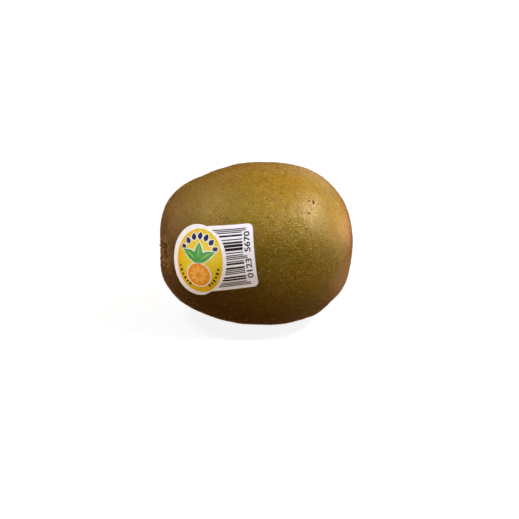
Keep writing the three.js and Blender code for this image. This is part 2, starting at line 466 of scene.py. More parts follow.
@dataclass(frozen=True)
class FruitBody:
    """The bare fruit's shape, measured from the middle of its widest section as the CAD model does."""

    middle: tuple[float, float, float] = (8.30701, -0.10287, 28.70424)
    blossom_length: float = 41.5
    stem_length: float = 26.3
    half_height: float = 29.2
    half_width: float = 30.0
    blossom_bluntness: float = 3.3
    stem_bluntness: float = 2.5
    # Each swelling: height, waves round, winding and phase. Each dent: axial place, angle, depth and radius.
    swellings: tuple[Four, ...] = ((0.22, 2, 2.16, 1.1), (0.14, 5, 1.93, 2.38))
    dents: tuple[Four, ...] = ((18.5, -2.2, 0.6, 3.4), (9.1, -2.04, 0.35, 3.2))
    # Each lump, or hollow below 0, that the CAD model leaves out: axial place, angle, height and radius.
    lumps: tuple[Four, ...] = (
        (24.3, -2.96, -0.55, 8.0),
        (18.9, 1.63, -0.40, 8.5),
        (16.3, -2.11, -0.45, 8.5),
        (-40.3, -1.43, 0.45, 4.2),
        (-26.8, -1.87, -0.26, 8.5),
        (5.5, -2.00, -0.40, 4.2),
        (24.4, 2.36, -0.30, 4.2),
        (2.6, 1.32, -0.17, 8.5),
        (-41.1, -0.29, -0.30, 4.2),
        (-39.4, 0.93, 0.19, 8.5),
        (-7.3, -1.99, -0.20, 6.0),
        (-26.4, 1.23, -0.26, 2.2),
        (12.0, -2.04, 0.28, 2.2),
        (-14.2, 1.30, 0.19, 3.0),
        (-40.8, -1.13, 0.22, 3.0),
        (17.6, -2.32, -0.21, 2.2),
    )
    dimple_radius: float = 6.0
    dimple_depth: float = 1.5
    scar_radius: float = 2.3
    scar_edge: float = 0.6
    scar_height: float = 0.8
    pit_radius: float = 1.1
    pit_depth: float = 0.5
    crown_y: float = -6.0
    crown_z: float = -1.5
    crown_radius: float = 4.4
    crown_width: float = 1.5
    crown_height: float = 0.45
    sink_depth: float = 0.5
    sink_radius: float = 2.6

    def relative(self, y: Points, z: Points) -> Points:
        """Distance from the axis as a share of the widest section."""
        return np.hypot(y / self.half_width, z / self.half_height)

    def level(self, points: Points) -> Points:
        """Level of points against the plain body: below 0 inside, and above 0 outside.

        Args:
            points: Places from the middle of the widest section.

        Returns:
            The levels.
        """
        x = points[..., 0]
        length = np.where(x < 0, self.blossom_length, self.stem_length)
        blunt = np.where(x < 0, self.blossom_bluntness, self.stem_bluntness)
        return (x / length) ** 2 + self.relative(points[..., 1], points[..., 2]) ** blunt - 1

    def on_body(self, points: Points) -> Points:
        """Moves points along their rays from the middle until they lie on the plain body.

        Args:
            points: Places that are not too near the middle.

        Returns:
            The moved points.
        """
        inside = np.zeros(points.shape[:-1])
        outside = np.full(points.shape[:-1], 4.0)
        for _ in range(40):
            half = (inside + outside) / 2
            under = self.level(points * half[..., None]) < 0
            inside = np.where(under, half, inside)
            outside = np.where(under, outside, half)
        return points * inside[..., None]

    def normal(self, points: Points) -> Points:
        """Outward directions of the plain body.

        Args:
            points: Places on the plain body.

        Returns:
            A direction for each.
        """
        nudges = np.eye(3) * 1e-3
        slopes = [self.level(points + nudge) - self.level(points - nudge) for nudge in nudges]
        return unit(np.stack(slopes, axis=-1))

    def at(self, axial: Points, angle: Points) -> Points:
        """Points of the plain body at places along the axis and angles round it from +Y.

        Args:
            axial: Places along the axis.
            angle: Angles round it.

        Returns:
            The points.
        """
        axial, angle = np.broadcast_arrays(np.asarray(axial, float), np.asarray(angle, float))
        length = np.where(axial < 0, self.blossom_length, self.stem_length)
        blunt = np.where(axial < 0, self.blossom_bluntness, self.stem_bluntness)
        share = np.clip(1 - (axial / length) ** 2, 0, 1) ** (1 / blunt)
        reach = share / self.relative(np.cos(angle), np.sin(angle))
        return np.stack([axial, reach * np.cos(angle), reach * np.sin(angle)], axis=-1)

    def swell(self, points: Points) -> Points:
        """Raises points of the plain body by the swellings and the lumps, and lowers them by the dents.

        Args:
            points: Places on the plain body.

        Returns:
            The moved points.
        """
        angle = np.arctan2(points[..., 2], points[..., 1])
        along = math.pi * points[..., 0] / self.blossom_length
        height = np.zeros(points.shape[:-1])
        for tall, around, winding, phase in self.swellings:
            height += tall * np.sin(around * angle + winding * along + phase)
        height *= self.relative(points[..., 1], points[..., 2]) ** 2
        for axial, round_angle, depth, radius in self.dents:
            distance = np.linalg.norm(points - self.at(axial, round_angle), axis=-1)
            height -= depth * bell(distance, radius)
        out = np.stack([np.zeros_like(angle), np.cos(angle), np.sin(angle)], axis=-1)
        lumpy = np.zeros(points.shape[:-1])
        for axial, round_angle, tall, radius in self.lumps:
            lumpy += tall * bell(np.linalg.norm(points - self.at(axial, round_angle), axis=-1), radius)
        return points + height[..., None] * out + lumpy[..., None] * self.normal(points)

    def stem_relief(self, y: Points, z: Points) -> Points:
        """How far the stem end stands out from the plain body, along +X.

        Args:
            y: Places across the fruit.
            z: Places up it.

        Returns:
            The heights, below 0 for a hollow.
        """
        radius = np.hypot(y, z)
        brink = self.scar_radius - self.scar_edge
        button = self.scar_height * (1 - smoothstep(radius, brink, self.scar_radius))
        pit = self.pit_depth * (1 - smoothstep(radius, 0, self.pit_radius))
        return button - pit - self.dimple_depth * bell(radius, self.dimple_radius)

    def blossom_relief(self, y: Points, z: Points) -> Points:
        """How far the blossom end stands out from the plain body, along -X.

        Args:
            y: Places across the fruit.
            z: Places up it.

        Returns:
            The heights, below 0 for a hollow.
        """
        radius = np.hypot(y - self.crown_y, z - self.crown_z)
        ring = self.crown_height * bell(radius - self.crown_radius, self.crown_width)
        return ring - self.sink_depth * bell(radius, self.sink_radius)

    def stem_surface(self, y: Points, z: Points) -> Points:
        """X of the stem end's surface."""
        share = np.sqrt(1 - self.relative(y, z) ** self.stem_bluntness)
        return self.stem_length * share + self.stem_relief(y, z)

    def blossom_surface(self, y: Points, z: Points) -> Points:
        """X of the blossom end's surface."""
        share = np.sqrt(1 - self.relative(y, z) ** self.blossom_bluntness)
        return -self.blossom_length * share - self.blossom_relief(y, z)

    def to_frame(self, points: Points) -> Points:
        """Moves points from the middle of the widest section to the CAD model's own place."""
        return points + np.array(self.middle)


@dataclass(frozen=True)
class LabelPlace:
    """The label's own frame on the skin: u runs to its right, v up, and the height stands off the skin."""

    body: FruitBody
    axial: float = -33.89
    rise: float = 0.047
    turn: float = 0.171

    def axes(self) -> tuple[Points, Points, Points, Points]:
        """Origin of the label's frame, and its directions u, v and outwards.

        Returns:
            The origin and the three directions.
        """
        origin = self.body.at(self.axial, math.pi - self.rise)
        out = self.body.normal(origin)
        flat = unit(np.array([1.0, 0.0, 0.0]) - out * out[0])
        side = np.cross(out, flat)
        u = flat * math.cos(self.turn) + side * math.sin(self.turn)
        return origin, u, np.cross(out, u), out

    def drape(self, flat: Points) -> Points:
        """Lays points on the skin.

        Args:
            flat: Points of u, v and height over the skin.

        Returns:
            Their places in the row frame.
        """
        origin, u, v, out = self.axes()
        reach = np.hypot(flat[:, 0], flat[:, 1]) + 1e-9
        bend = reach / self.body.half_height
        spread = np.sin(bend) / bend
        drop = self.body.half_height * (1 - np.cos(bend))
        wrapped = origin + (flat[:, 0] * spread)[:, None] * u + (flat[:, 1] * spread)[:, None] * v
        plain = self.body.on_body(wrapped - drop[:, None] * out)
        lifted = self.body.swell(plain) + self.body.normal(plain) * flat[:, 2:3]
        return self.body.to_frame(lifted)

    def flatten(self, plain: Points) -> Points:
        """Label coordinates u and v of points of the plain body, far away for points on its other side.

        Args:
            plain: Places on the plain body.

        Returns:
            A pair for each.
        """
        origin, u, v, out = self.axes()
        radius = self.body.half_height
        centre = origin - radius * out
        ray = unit(plain)
        along = ray @ centre
        room = along**2 - centre @ centre + radius**2
        far = along + np.sqrt(np.clip(room, 0, None))
        ball = (ray * far[:, None] - centre) / radius
        bend = np.arccos(np.clip(ball @ out, -1, 1))
        scale = radius * bend / np.maximum(np.sin(bend), 1e-6)
        flat = np.stack([ball @ u * scale, ball @ v * scale], axis=-1)
        flat[(ball @ out) < 0] = 1e3
        return flat


# --- Finishes -------------------------------------------------------------------------------------


@dataclass(frozen=True)
class KiwiSkin:
    """Skin of a ripe golden kiwi, rubbed nearly bare: thin, matt and leathery, olive over bronze."""

    olive: str = "#705d0a"
    bronze: str = "#775c0c"
    # Redder ripening, partly painted sheen along the rim.
    blush_and_rim_sheen: str = "#8a5b22"
    # Painted shade of the underside.
    underside_shade: str = "#4e2e02"
    dark: str = "#4d3404"
    pale: str = "#9b7726"
    pit: str = "#b99a48"
    # Pale rubbed patches, partly painted highlight and sheen.
    scuff_and_glare: str = "#9a7a50"
    gold: str = "#8a6010"
    cork: str = "#8a683c"
    scar: str = "#46260e"
    glint: str = "#ffdf9e"
    bloom: str = "#f08a40"
    cloud: Blotches = Blotches(13, 3)
    ripening: Blotches = Blotches(9, 3)
    mottle: Blotches = Blotches(2.6, 4, 0.6)
    # The real grain is finer than 0.2 mm. To show, it is drawn 0.4 mm wide, and 1 mm long along the fruit.
    grain: Blotches = Blotches(0.4, 3, 0.75, (0.4, 1, 1), 1.2)
    crumbs: Blotches = Blotches(0.9, 3)
    wear: Blotches = Blotches(3.5, 3)
    pimples: Blotches = Blotches(0.7, 2)
    # Hair pits: pale dashes that lie along the fruit, about 0.3 mm wide and 1.5 mm long.
    pit_spacing: float = 0.52
    pit_radius: float = 0.15
    pit_squeeze: tuple[float, float, float] = (0.2, 1, 1)
    pit_sway: float = 0.8
    pit_share: float = 0.52
    pit_height: float = 0.6
    scuff_and_glare_share: float = 0.35
    # Height that a millimetre towards the stem end counts for, where the painted shade runs along the fruit's
    # side.
    shade_slant: float = 0.45

    def pits(self, tree: FinishTree) -> Any:
        """Draws the hair pits.

        Args:
            tree: Tree of the skin.

        Returns:
            Factor output, 1 in a pit.
        """
        links = {"Vector": tree.stretched(self.pit_squeeze, self.pit_sway), "Scale": 1 / self.pit_spacing}
        cell = add_node(tree.tree, "ShaderNodeTexVoronoi", links).outputs["Distance"]
        reach = self.pit_radius / self.pit_spacing
        return tree.share(cell, 0.5 * reach, reach, 1, 0)

    def build(self) -> bpy.types.Material:
        """Builds the material.

        The broad blotches make it a grown thing, the grain and the pale hair pits keep its gloss soft, and
        the sheen is the down that catches the light where the skin turns away. Painted shade darkens the
        underside and the blossom end, painted light brightens the top and the stem end, and some pale and
        reddish patches hold painted highlight and sheen.

        Returns:
            The material.
        """
        tree = FinishTree("golden_kiwi_skin_rubbed")
        gold, ripe_and_rim_sheen, scuff_and_glare_mask, corky, scarred = tree.stored("gold", "ends", "scuff_and_glare", "cork", "scar")
        grain, pits = tree.draw(self.grain), self.pits(tree)
        along, _, high = add_node(tree.tree, "ShaderNodeSeparateXYZ", {0: tree.space}).outputs
        crumbly = tree.share(self.crumbs, 0.2, 0.6, 0.4, 1)
        # Painted light and shade: the colour is darker on the underside and towards the blossom end, and
        # lighter on top and towards the stem end, as the light falls.
        painted_light_shade_tones = tree.share(high, 32, 48, 0.72, 1.34), tree.share(along, -36, 30, 0.66, 1.36)
        pitted, scuff_and_glare_mask, corky, shade_slope, painted_light_shade_tone = (
            add_node(tree.tree, "ShaderNodeMath", {0: first, 1: second}, operation="MULTIPLY").outputs[0]
            for first, second in (
                (pits, self.pit_share),
                (scuff_and_glare_mask, self.scuff_and_glare_share),
                (corky, crumbly),
                (along, self.shade_slant),
                painted_light_shade_tones,
            )
        )
        # The first sum adds random ripening to the ends' reddening; the second is the height that the painted
        # underside shade and the gloss follow, lower towards the stem end.
        ripe_and_rim_sheen, low = (
            add_node(tree.tree, "ShaderNodeMath", {0: first, 1: second}).outputs[0]
            for first, second in ((ripe_and_rim_sheen, tree.share(self.ripening, 0.3, 0.7, -0.3, 0.3)), (high, shade_slope))
        )
        coloured = tree.coats(
            self.olive,
            (tree.share(self.cloud, 0.38, 0.62), self.bronze),
            (gold, self.gold),
            # Redder towards the ends, partly ripening and partly painted sheen where the rim turns away.
            (tree.share(ripe_and_rim_sheen, 0.15, 1.3, 0, 0.85), self.blush_and_rim_sheen),
            (tree.share(self.mottle, 0.5, 0.72, 0, 0.35), self.dark),
            (tree.share(grain, 0.34, 0.5, 0.8, 0), self.dark),
            (tree.share(grain, 0.5, 0.68, 0, 0.7), self.pale),
            (pitted, self.pit),
            # Pale patches, partly rubbed and partly painted highlight and sheen.
            (scuff_and_glare_mask, self.scuff_and_glare),
            # Painted shade: umber darkens the underside, its edge running lower towards the stem end.
            (tree.share(low, 2, 34, 0.9, 0), self.underside_shade),
        )
        # Scales the colour by the painted light and shade.
        links = {0: coloured, "Scale": painted_light_shade_tone}
        painted_light_shade_colour = add_node(tree.tree, "ShaderNodeVectorMath", links, operation="SCALE").outputs[0]
        base = tree.coats(painted_light_shade_colour, (corky, self.cork), (scarred, self.scar))
        tree.dress(Base_Color=base, Roughness=tree.share(self.wear, 0.3, 0.7, 0.25, 0.35), IOR=1.5)
        tree.dress(Specular_IOR_Level=tree.share(low, 12, 36, 0.2, 0.87), Specular_Tint=linear(self.glint))
        tree.dress(Sheen_Weight=0.17, Sheen_Roughness=0.3, Sheen_Tint=linear(self.bloom))
        raised = ((grain, 1), (tree.draw(self.pimples), 1), (pits, self.pit_height))
        tree.relief(*raised, depth=0.16, strength=0.9)
        return tree.material


@dataclass(frozen=True)
class DriedPlant:
    """Withered plant matter, such as a sepal or a style: papery, fibrous and dull."""

    name: str
    light: str
    dark: str
    fibres: Blotches = Blotches(0.25, 3, 0.6, (1, 0.5, 0.5))
    stains: Blotches = Blotches(1.6, 2)

    def build(self) -> bpy.types.Material:
        """Builds the material, whose streaks are the dried fibres.

        Returns:
            The material.
        """
        tree = FinishTree(self.name)
        streaks = tree.draw(self.fibres)
        base = tree.coats(
            self.dark,
            (tree.share(streaks, 0.35, 0.65), self.light),
            (tree.share(self.stains, 0.45, 0.7, 0, 0.6), self.dark),
        )
        tree.dress(Base_Color=base, Roughness=0.85, Specular_IOR_Level=0.15)
        tree.dress(Sheen_Weight=0.1, Sheen_Tint=linear(self.light))
        tree.relief((streaks, 1), depth=0.06, strength=0.7)
        return tree.material


@dataclass(frozen=True)
class KiwiDown:
    """Dried down of the skin: single hairs, brown to straw, that give the outline its soft bloom."""

    brown: str = "#7a5426"
    straw: str = "#c4935a"
    tufts: Blotches = Blotches(0.8, 2)

    def build(self) -> bpy.types.Material:
        """Builds the material.

        Returns:
            The material.
        """
        tree = FinishTree("kiwi_down_dried")
        base = tree.coats(self.brown, (tree.share(self.tufts, 0.35, 0.65), self.straw))
        tree.dress(Base_Color=base, Roughness=0.6, Specular_IOR_Level=0.3)
        return tree.material


@dataclass(frozen=True)
class CoatedPaper:
    """Clay-coated label paper: smooth and a little glossy, with a faint fibre mottle."""

    white: str = "#f6f4f8"
    shade: str = "#ebe8ee"
    mottle: Blotches = Blotches(1.4, 4, 0.65)
    polish: Blotches = Blotches(0.7, 3)
    # The real fibres are about 0.03 mm wide, and are drawn as coarse clumps of them to show.
    fibres: Blotches = Blotches(0.5, 4, 0.7)

    def build(self) -> bpy.types.Material:
        """Builds the material.

        Returns:
            The material.
        """
        tree = FinishTree("label_paper_coated")
        base = tree.coats(self.white, (tree.share(self.mottle, 0.3, 0.7), self.shade))
        tree.dress(Base_Color=base, Roughness=tree.share(self.polish, 0.3, 0.7, 0.36, 0.46), IOR=1.5)
        tree.relief((tree.draw(self.fibres), 1), depth=0.012, strength=0.6)
        return tree.material


class Ink(Enum):
    """Inks of the label's print: name, colour and the colour of its uneven patches."""

    YELLOW = ("yellow", "#e8d122", "#dcc01a")
    ORANGE = ("orange", "#f29a20", "#e88c14")
    APRICOT = ("apricot", "#f8bd62", "#f5b04e")
    GREEN = ("green", "#3aa742", "#2b9036")
    LIME = ("lime", "#a5d47c", "#93c96c")
    WHITE = ("white", "#f2efe9", "#e7e4e0")
    NAVY = ("navy", "#0c2058", "#081844")
    BLACK = ("black", "#141214", "#201e20")


@dataclass(frozen=True)
class PrintedInk:
    """Offset ink on coated paper: a thin film with a soft gloss, slightly uneven where it took."""

    ink: Ink
    rim: str = "#dd9a14"
    uneven: Blotches = Blotches(0.9, 4, 0.7)
    polish: Blotches = Blotches(0.6, 2)

    def build(self) -> bpy.types.Material:
        """Builds the material, which warms towards the rim of a piece that stores how near its rim is.

        Returns:
            The material.
        """
        name, full, thin = self.ink.value
        tree = FinishTree(f"printed_ink_{name}")
        (near,) = tree.stored("rim")
        base = tree.coats(
            full,
            (tree.share(self.uneven, 0.35, 0.7), thin),
            (tree.share(near, 0.55, 1.05, 0, 0.5), self.rim),
        )
        rough = tree.share(self.polish, 0.3, 0.7, 0.34, 0.42)
        tree.dress(Base_Color=base, Roughness=rough, IOR=1.5, Specular_IOR_Level=0.3)
        return tree.material


# --- Skin -----------------------------------------------------------------------------------------


@dataclass
class FruitSkin:
    """The fruit's outer surface: one closed skin with the relief of both ends and its flat foot."""

    body: FruitBody
    place: LabelPlace
    shape: "LabelShape"
    rings: int = 282
    segments: int = 340
    crowding: float = 0.72
    ripple: float = 0.035
    ripple_waves: tuple[float, ...] = (3.7, 4.9, 6.3, 8.1, 10.7)
    pucker: float = 0.1
    puckers: int = 13
    # Radii between which the puckers rise, and between which they fade.
    pucker_rise: Pair = (1.6, 3.4)
    pucker_fade: Pair = (4.5, 10.0)
    # Shares of the way to each end between which the skin ripens, and radii over which cork and scars fade.
    stem_near: Pair = (0.35, 0.98)
    blossom_near: Pair = (0.72, 1.0)
    button_fade: Pair = (2.0, 3.0)
    crown_fade: Pair = (3.4, 8.4)
    stalk_fade: Pair = (0.4, 1.3)
    style_fade: Pair = (0.6, 3.2)
    crown_cork: float = 0.8
    scar_share: float = 0.85
    # The down is thinnest on the fruit's sides, and there is none within a reach of the label or the floor.
    down_least: float = 0.35
    down_bare_reach: float = 0.4
    down_floor: Pair = (0.3, 1.6)
    # Waves round the axis, height and phase that make the rims of cork and scars ragged.
    rags: tuple[tuple[int, float, float], ...] = ((7, 0.45, 0.0), (11, 0.3, 1.3), (19, 0.2, 0.4))
    # Patches rubbed pale, partly painted highlight and sheen; patches ripened redder, partly painted sheen at
    # the rim; and patches ripened to gold: axial place, angle, radius and strength of each.
    scuff_and_glare_patches: tuple[Four, ...] = (
        (7.6, 2.33, 2.2, 1.0),
        (4.6, 2.46, 3.1, 1.15),
        (8.0, 1.42, 5.0, 0.9),
        (18.5, -2.8, 7.0, 2.2),
    )
    blush_and_rim_sheen_patches: tuple[Four, ...] = (
        (-20.8, 1.75, 9.0, 0.5),
        (-12.6, 1.5, 8.0, 0.6),
        (6.0, 1.3, 9.0, 0.6),
        (22.0, 2.7, 8.0, 0.35),
        (20.0, -2.8, 8.0, 0.5),
        (15.5, -2.3, 8.0, 0.9),
    )
    golds: tuple[Four, ...] = ((-1.0, 1.95, 14.0, 0.7),)

    def outline_places(self) -> Points:
        """Places along the axis of the rings, crowded towards the ends.

        Returns:
            The places, in order.
        """
        body = self.body
        t = np.linspace(0, 1, 4001)
        share = -np.cos(math.pi * t)
        length = np.where(share < 0, body.blossom_length, body.stem_length)
        blunt = np.where(share < 0, body.blossom_bluntness, body.stem_bluntness)
        radius = body.half_height * np.clip(1 - share**2, 0, 1) ** (1 / blunt)
        x = length * share
        arc = np.concatenate([[0], np.cumsum(np.hypot(np.diff(radius), np.diff(x)))])
        even = np.linspace(0, 1, self.rings + 1)[1:-1]
        crowded = even - self.crowding * np.sin(TURN * even) / TURN
        return np.interp(crowded * arc[-1], arc, x)

    def plain_points(self) -> Points:
        """Points of the plain body: the blossom pole, the rings and the stem pole.

        Returns:
            The points, in order.
        """
        angles = np.linspace(0, TURN, self.segments, endpoint=False)
        axial, around = np.meshgrid(self.outline_places(), angles, indexing="ij")
        ends = np.array([[-self.body.blossom_length, 0, 0], [self.body.stem_length, 0, 0]])
        return np.concatenate([ends[:1], self.body.at(axial, around).reshape(-1, 3), ends[1:]])

    def faces(self) -> Faces:
        """Faces between the rings, and fans at the poles.

        Returns:
            The faces.
        """
        wide, count = self.segments, self.rings - 1
        faces: Faces = []
        for j in range(wide):
            k = (j + 1) % wide
            faces.append((0, 1 + k, 1 + j))
            last = 1 + (count - 1) * wide
            faces.append((last + j, last + k, 1 + count * wide))
            for i in range(count - 1):
                here, there = 1 + i * wide, 1 + (i + 1) * wide
                faces.append((here + j, here + k, there + k, there + j))
        return faces

    def relieved(self, plain: Points) -> Points:
        """Swells the plain body, gives it its faint ripples, and adds the relief of both ends.

        Args:
            plain: Points of the plain body.

        Returns:
            The points of the skin.
        """
        body = self.body
        points = body.swell(plain)
        normal = body.normal(plain)
        turns = seeded_numbers(SEED)
        ripple = np.zeros(len(points))
        for wave in self.ripple_waves:
            way = unit(np.array([next(turns) - 0.5 for _ in range(3)]))
            ripple += np.sin(TURN * (points @ way) / wave + TURN * next(turns))
        points += (ripple * self.ripple * 0.5)[:, None] * normal
        y, z = points[:, 1], points[:, 2]
        stem = plain[:, 0] > 0
        radius = np.where(stem, np.hypot(y, z), np.hypot(y - body.crown_y, z - body.crown_z))
        angle = np.where(stem, np.arctan2(z, y), np.arctan2(z - body.crown_z, y - body.crown_y))
        folds = np.sin(self.puckers * angle + 1.7 * np.sin(3 * angle)) * self.pucker
        folds *= smoothstep(radius, *self.pucker_rise) * (1 - smoothstep(radius, *self.pucker_fade))
        points[:, 0] += np.where(stem, body.stem_relief(y, z) + folds, -body.blossom_relief(y, z) - folds)
        return points

    def patches(self, plain: Points, patches: tuple[Four, ...]) -> Points:
        """How deep in soft round patches the points of the plain body lie.

        Args:
            plain: Points of the plain body.
            patches: Axial place, angle, radius and strength of each.

        Returns:
            A number for each point.
        """
        share = np.zeros(len(plain))
        for axial, round_angle, radius, strength in patches:
            distance = np.linalg.norm(plain - self.body.at(axial, round_angle), axis=-1)
            share += strength * bell(distance, radius)
        return share

    def masks(self, plain: Points, points: Points) -> dict[str, Points]:
        """Numbers for the finish and the down.

        Args:
            plain: Points of the plain body.
            points: The same points with their relief.

        Returns:
            How ripened by an end each is, with painted sheen along the rim, and how corky, scarred, rubbed
            pale or painted with highlight, golden and downy.
        """
        body = self.body
        y, z = points[:, 1], points[:, 2]
        stem = plain[:, 0] > 0
        angle = np.arctan2(z, y)
        ragged = sum(tall * np.sin(waves * angle + phase) for waves, tall, phase in self.rags)
        stem_radius = np.hypot(y, z)
        crown_radius = np.hypot(y - body.crown_y, z - body.crown_z)
        share = np.where(stem, plain[:, 0] / body.stem_length, -plain[:, 0] / body.blossom_length)
        near = np.where(stem, smoothstep(share, *self.stem_near), smoothstep(share, *self.blossom_near))
        button = np.where(stem, 1 - smoothstep(stem_radius + ragged * 0.3, *self.button_fade), 0)
        crown = np.where(stem, 0, 1 - smoothstep(crown_radius + ragged, *self.crown_fade))
        stalk = smoothstep(stem_radius, *self.stalk_fade)
        pit = 1 - np.where(stem, stalk, smoothstep(crown_radius + ragged, *self.style_fade))
        flat = self.place.flatten(plain)
        covered = self.shape.edge_distance(flat) < self.down_bare_reach
        down = np.where(covered, 0, self.down_least + (1 - self.down_least) * near)
        down *= 1 - np.maximum(button, pit)
        down *= smoothstep(z + body.middle[2], *self.down_floor)
        return {
            # Ripening towards the ends, with patches of painted sheen along the rim.
            "ends": near + self.patches(plain, self.blush_and_rim_sheen_patches),
            "cork": np.maximum(button, crown * self.crown_cork),
            "scar": pit * self.scar_share,
            "scuff_and_glare": self.patches(plain, self.scuff_and_glare_patches),
            "gold": self.patches(plain, self.golds),
            "down": down,
        }

    def build(self, finish: bpy.types.Material) -> bpy.types.Object:
        """Builds the skin in place of the CAD fruit.

        Args:
            finish: Material of the skin.

        Returns:
            The skin, with its masks stored on its vertices.
        """
        plain = self.plain_points()
        points = self.relieved(plain)
        placed = self.body.to_frame(points)
        placed[:, 2] = np.maximum(placed[:, 2], 0.0)
        skin = make_piece("fruit_skin_surface", (placed, self.faces()), finish, crease=180)
        for name, values in self.masks(plain, points).items():
            store(skin.data, name, values)
        settle(skin, "fruit_skin", "kiwi_fruit")
        return skin


# --- Marks ----------------------------------------------------------------------------------------


@dataclass
class SkinMarks:
    """Healed specks of the skin: flat, ragged scabs of dark cork, half sunk in it."""

    body: FruitBody
    # Axial place, angle round the fruit, width and length of each on the label side.
    known: tuple[Four, ...] = (
        (-9.3, 2.183, 0.5, 0.7),
        (-10.0, 2.525, 0.7, 0.9),
        (-10.9, 2.52, 0.35, 0.5),
        (-22.1, 2.258, 0.35, 0.9),
        (-13.7, 2.176, 0.35, 0.6),
        (4.9, 2.321, 0.9, 0.6),
        (6.6, 2.337, 0.8, 1.9),
        (8.1, 2.352, 0.5, 0.7),
        (5.5, 2.439, 0.6, 0.5),
        (4.2, 2.486, 1.0, 0.8),
        (3.5, 2.462, 0.5, 0.4),
        (2.7, 2.674, 0.6, 0.7),
        (10.2, -2.478, 0.6, 1.0),
    )
    scattered: int = 30
    # Least value and spread of the scattered marks' axial places, angles and widths.
    axial_spread: Pair = (-34, 54)
    angle_spread: Pair = (-2.0, 3.9)
    width_spread: Pair = (0.35, 0.6)
    thickness: float = 0.16
    raggedness: float = 1.0

    def places(self) -> bpy.types.Mesh:
        """Marks where each scab lies, which way it faces and how large it is.

        Returns:
            A mesh of loose points.
        """
        numbers = seeded_numbers(SEED + 11)
        rows = list(self.known)
        for _ in range(self.scattered):
            axial = self.axial_spread[0] + self.axial_spread[1] * next(numbers)
            angle = self.angle_spread[0] + self.angle_spread[1] * next(numbers)
            wide = self.width_spread[0] + self.width_spread[1] * next(numbers) ** 2
            rows.append((axial, angle, wide, wide * (0.7 + next(numbers))))
        axial, angle, wide, long = np.array(rows).T
        plain = self.body.at(axial, angle)
        places = self.body.to_frame(self.body.swell(plain)) * MM
        sizes = np.stack([wide, long, np.full(len(wide), self.thickness)], axis=-1) * MM
        return loose_points("mark_places", places, way=self.body.normal(plain), size=sizes)

    def tree(self, finish: bpy.types.Material) -> bpy.types.NodeTree:
        """Builds the tree that lays a ragged scab on each place.

        Args:
            finish: Material of the scabs.

        Returns:
            The geometry tree.
        """
        tree, start, end = start_tree("scabs_on_skin", {"Raggedness": "NodeSocketFloat"})
        ball = add_node(tree, "GeometryNodeMeshIcoSphere", {"Radius": 0.5, "Subdivisions": 3}).outputs[0]
        place = add_node(tree, "GeometryNodeInputPosition").outputs[0]
        lumps = add_node(tree, "ShaderNodeTexNoise", {"Scale": 3.4, "Detail": 2.0}).outputs[0]
        links = {0: lumps, 1: start.outputs["Raggedness"], 2: 0.5}
        grown = add_node(tree, "ShaderNodeMath", links, operation="MULTIPLY_ADD").outputs[0]
        links = {0: place, "Scale": grown}
        ragged = add_node(tree, "ShaderNodeVectorMath", links, operation="SCALE").outputs[0]
        scab = add_node(tree, "GeometryNodeSetPosition", {0: ball, "Position": ragged}).outputs[0]
        kind = "GeometryNodeInputNamedAttribute"
        way, size = (
            add_node(tree, kind, {"Name": name}, data_type="FLOAT_VECTOR").outputs[0]
            for name in ("way", "size")
        )
        turned = add_node(tree, "FunctionNodeAlignRotationToVector", {"Vector": way}, axis="Z").outputs[0]
        scatter = {"Points": start.outputs[0], "Instance": scab, "Rotation": turned, "Scale": size}
        end_tree(tree, scatter, end, finish)
        return tree

    def build(self, finish: bpy.types.Material) -> bpy.types.Object:
        """Builds all marks as one piece.

        Args:
            finish: Their material.

        Returns:
            The piece.
        """
        marks = grow("skin_marks", self.places(), self.tree(finish), {"Raggedness": self.raggedness})
        smooth(marks.data)
        settle(marks, "fruit_skin")
        return marks


# --- Down -----------------------------------------------------------------------------------------


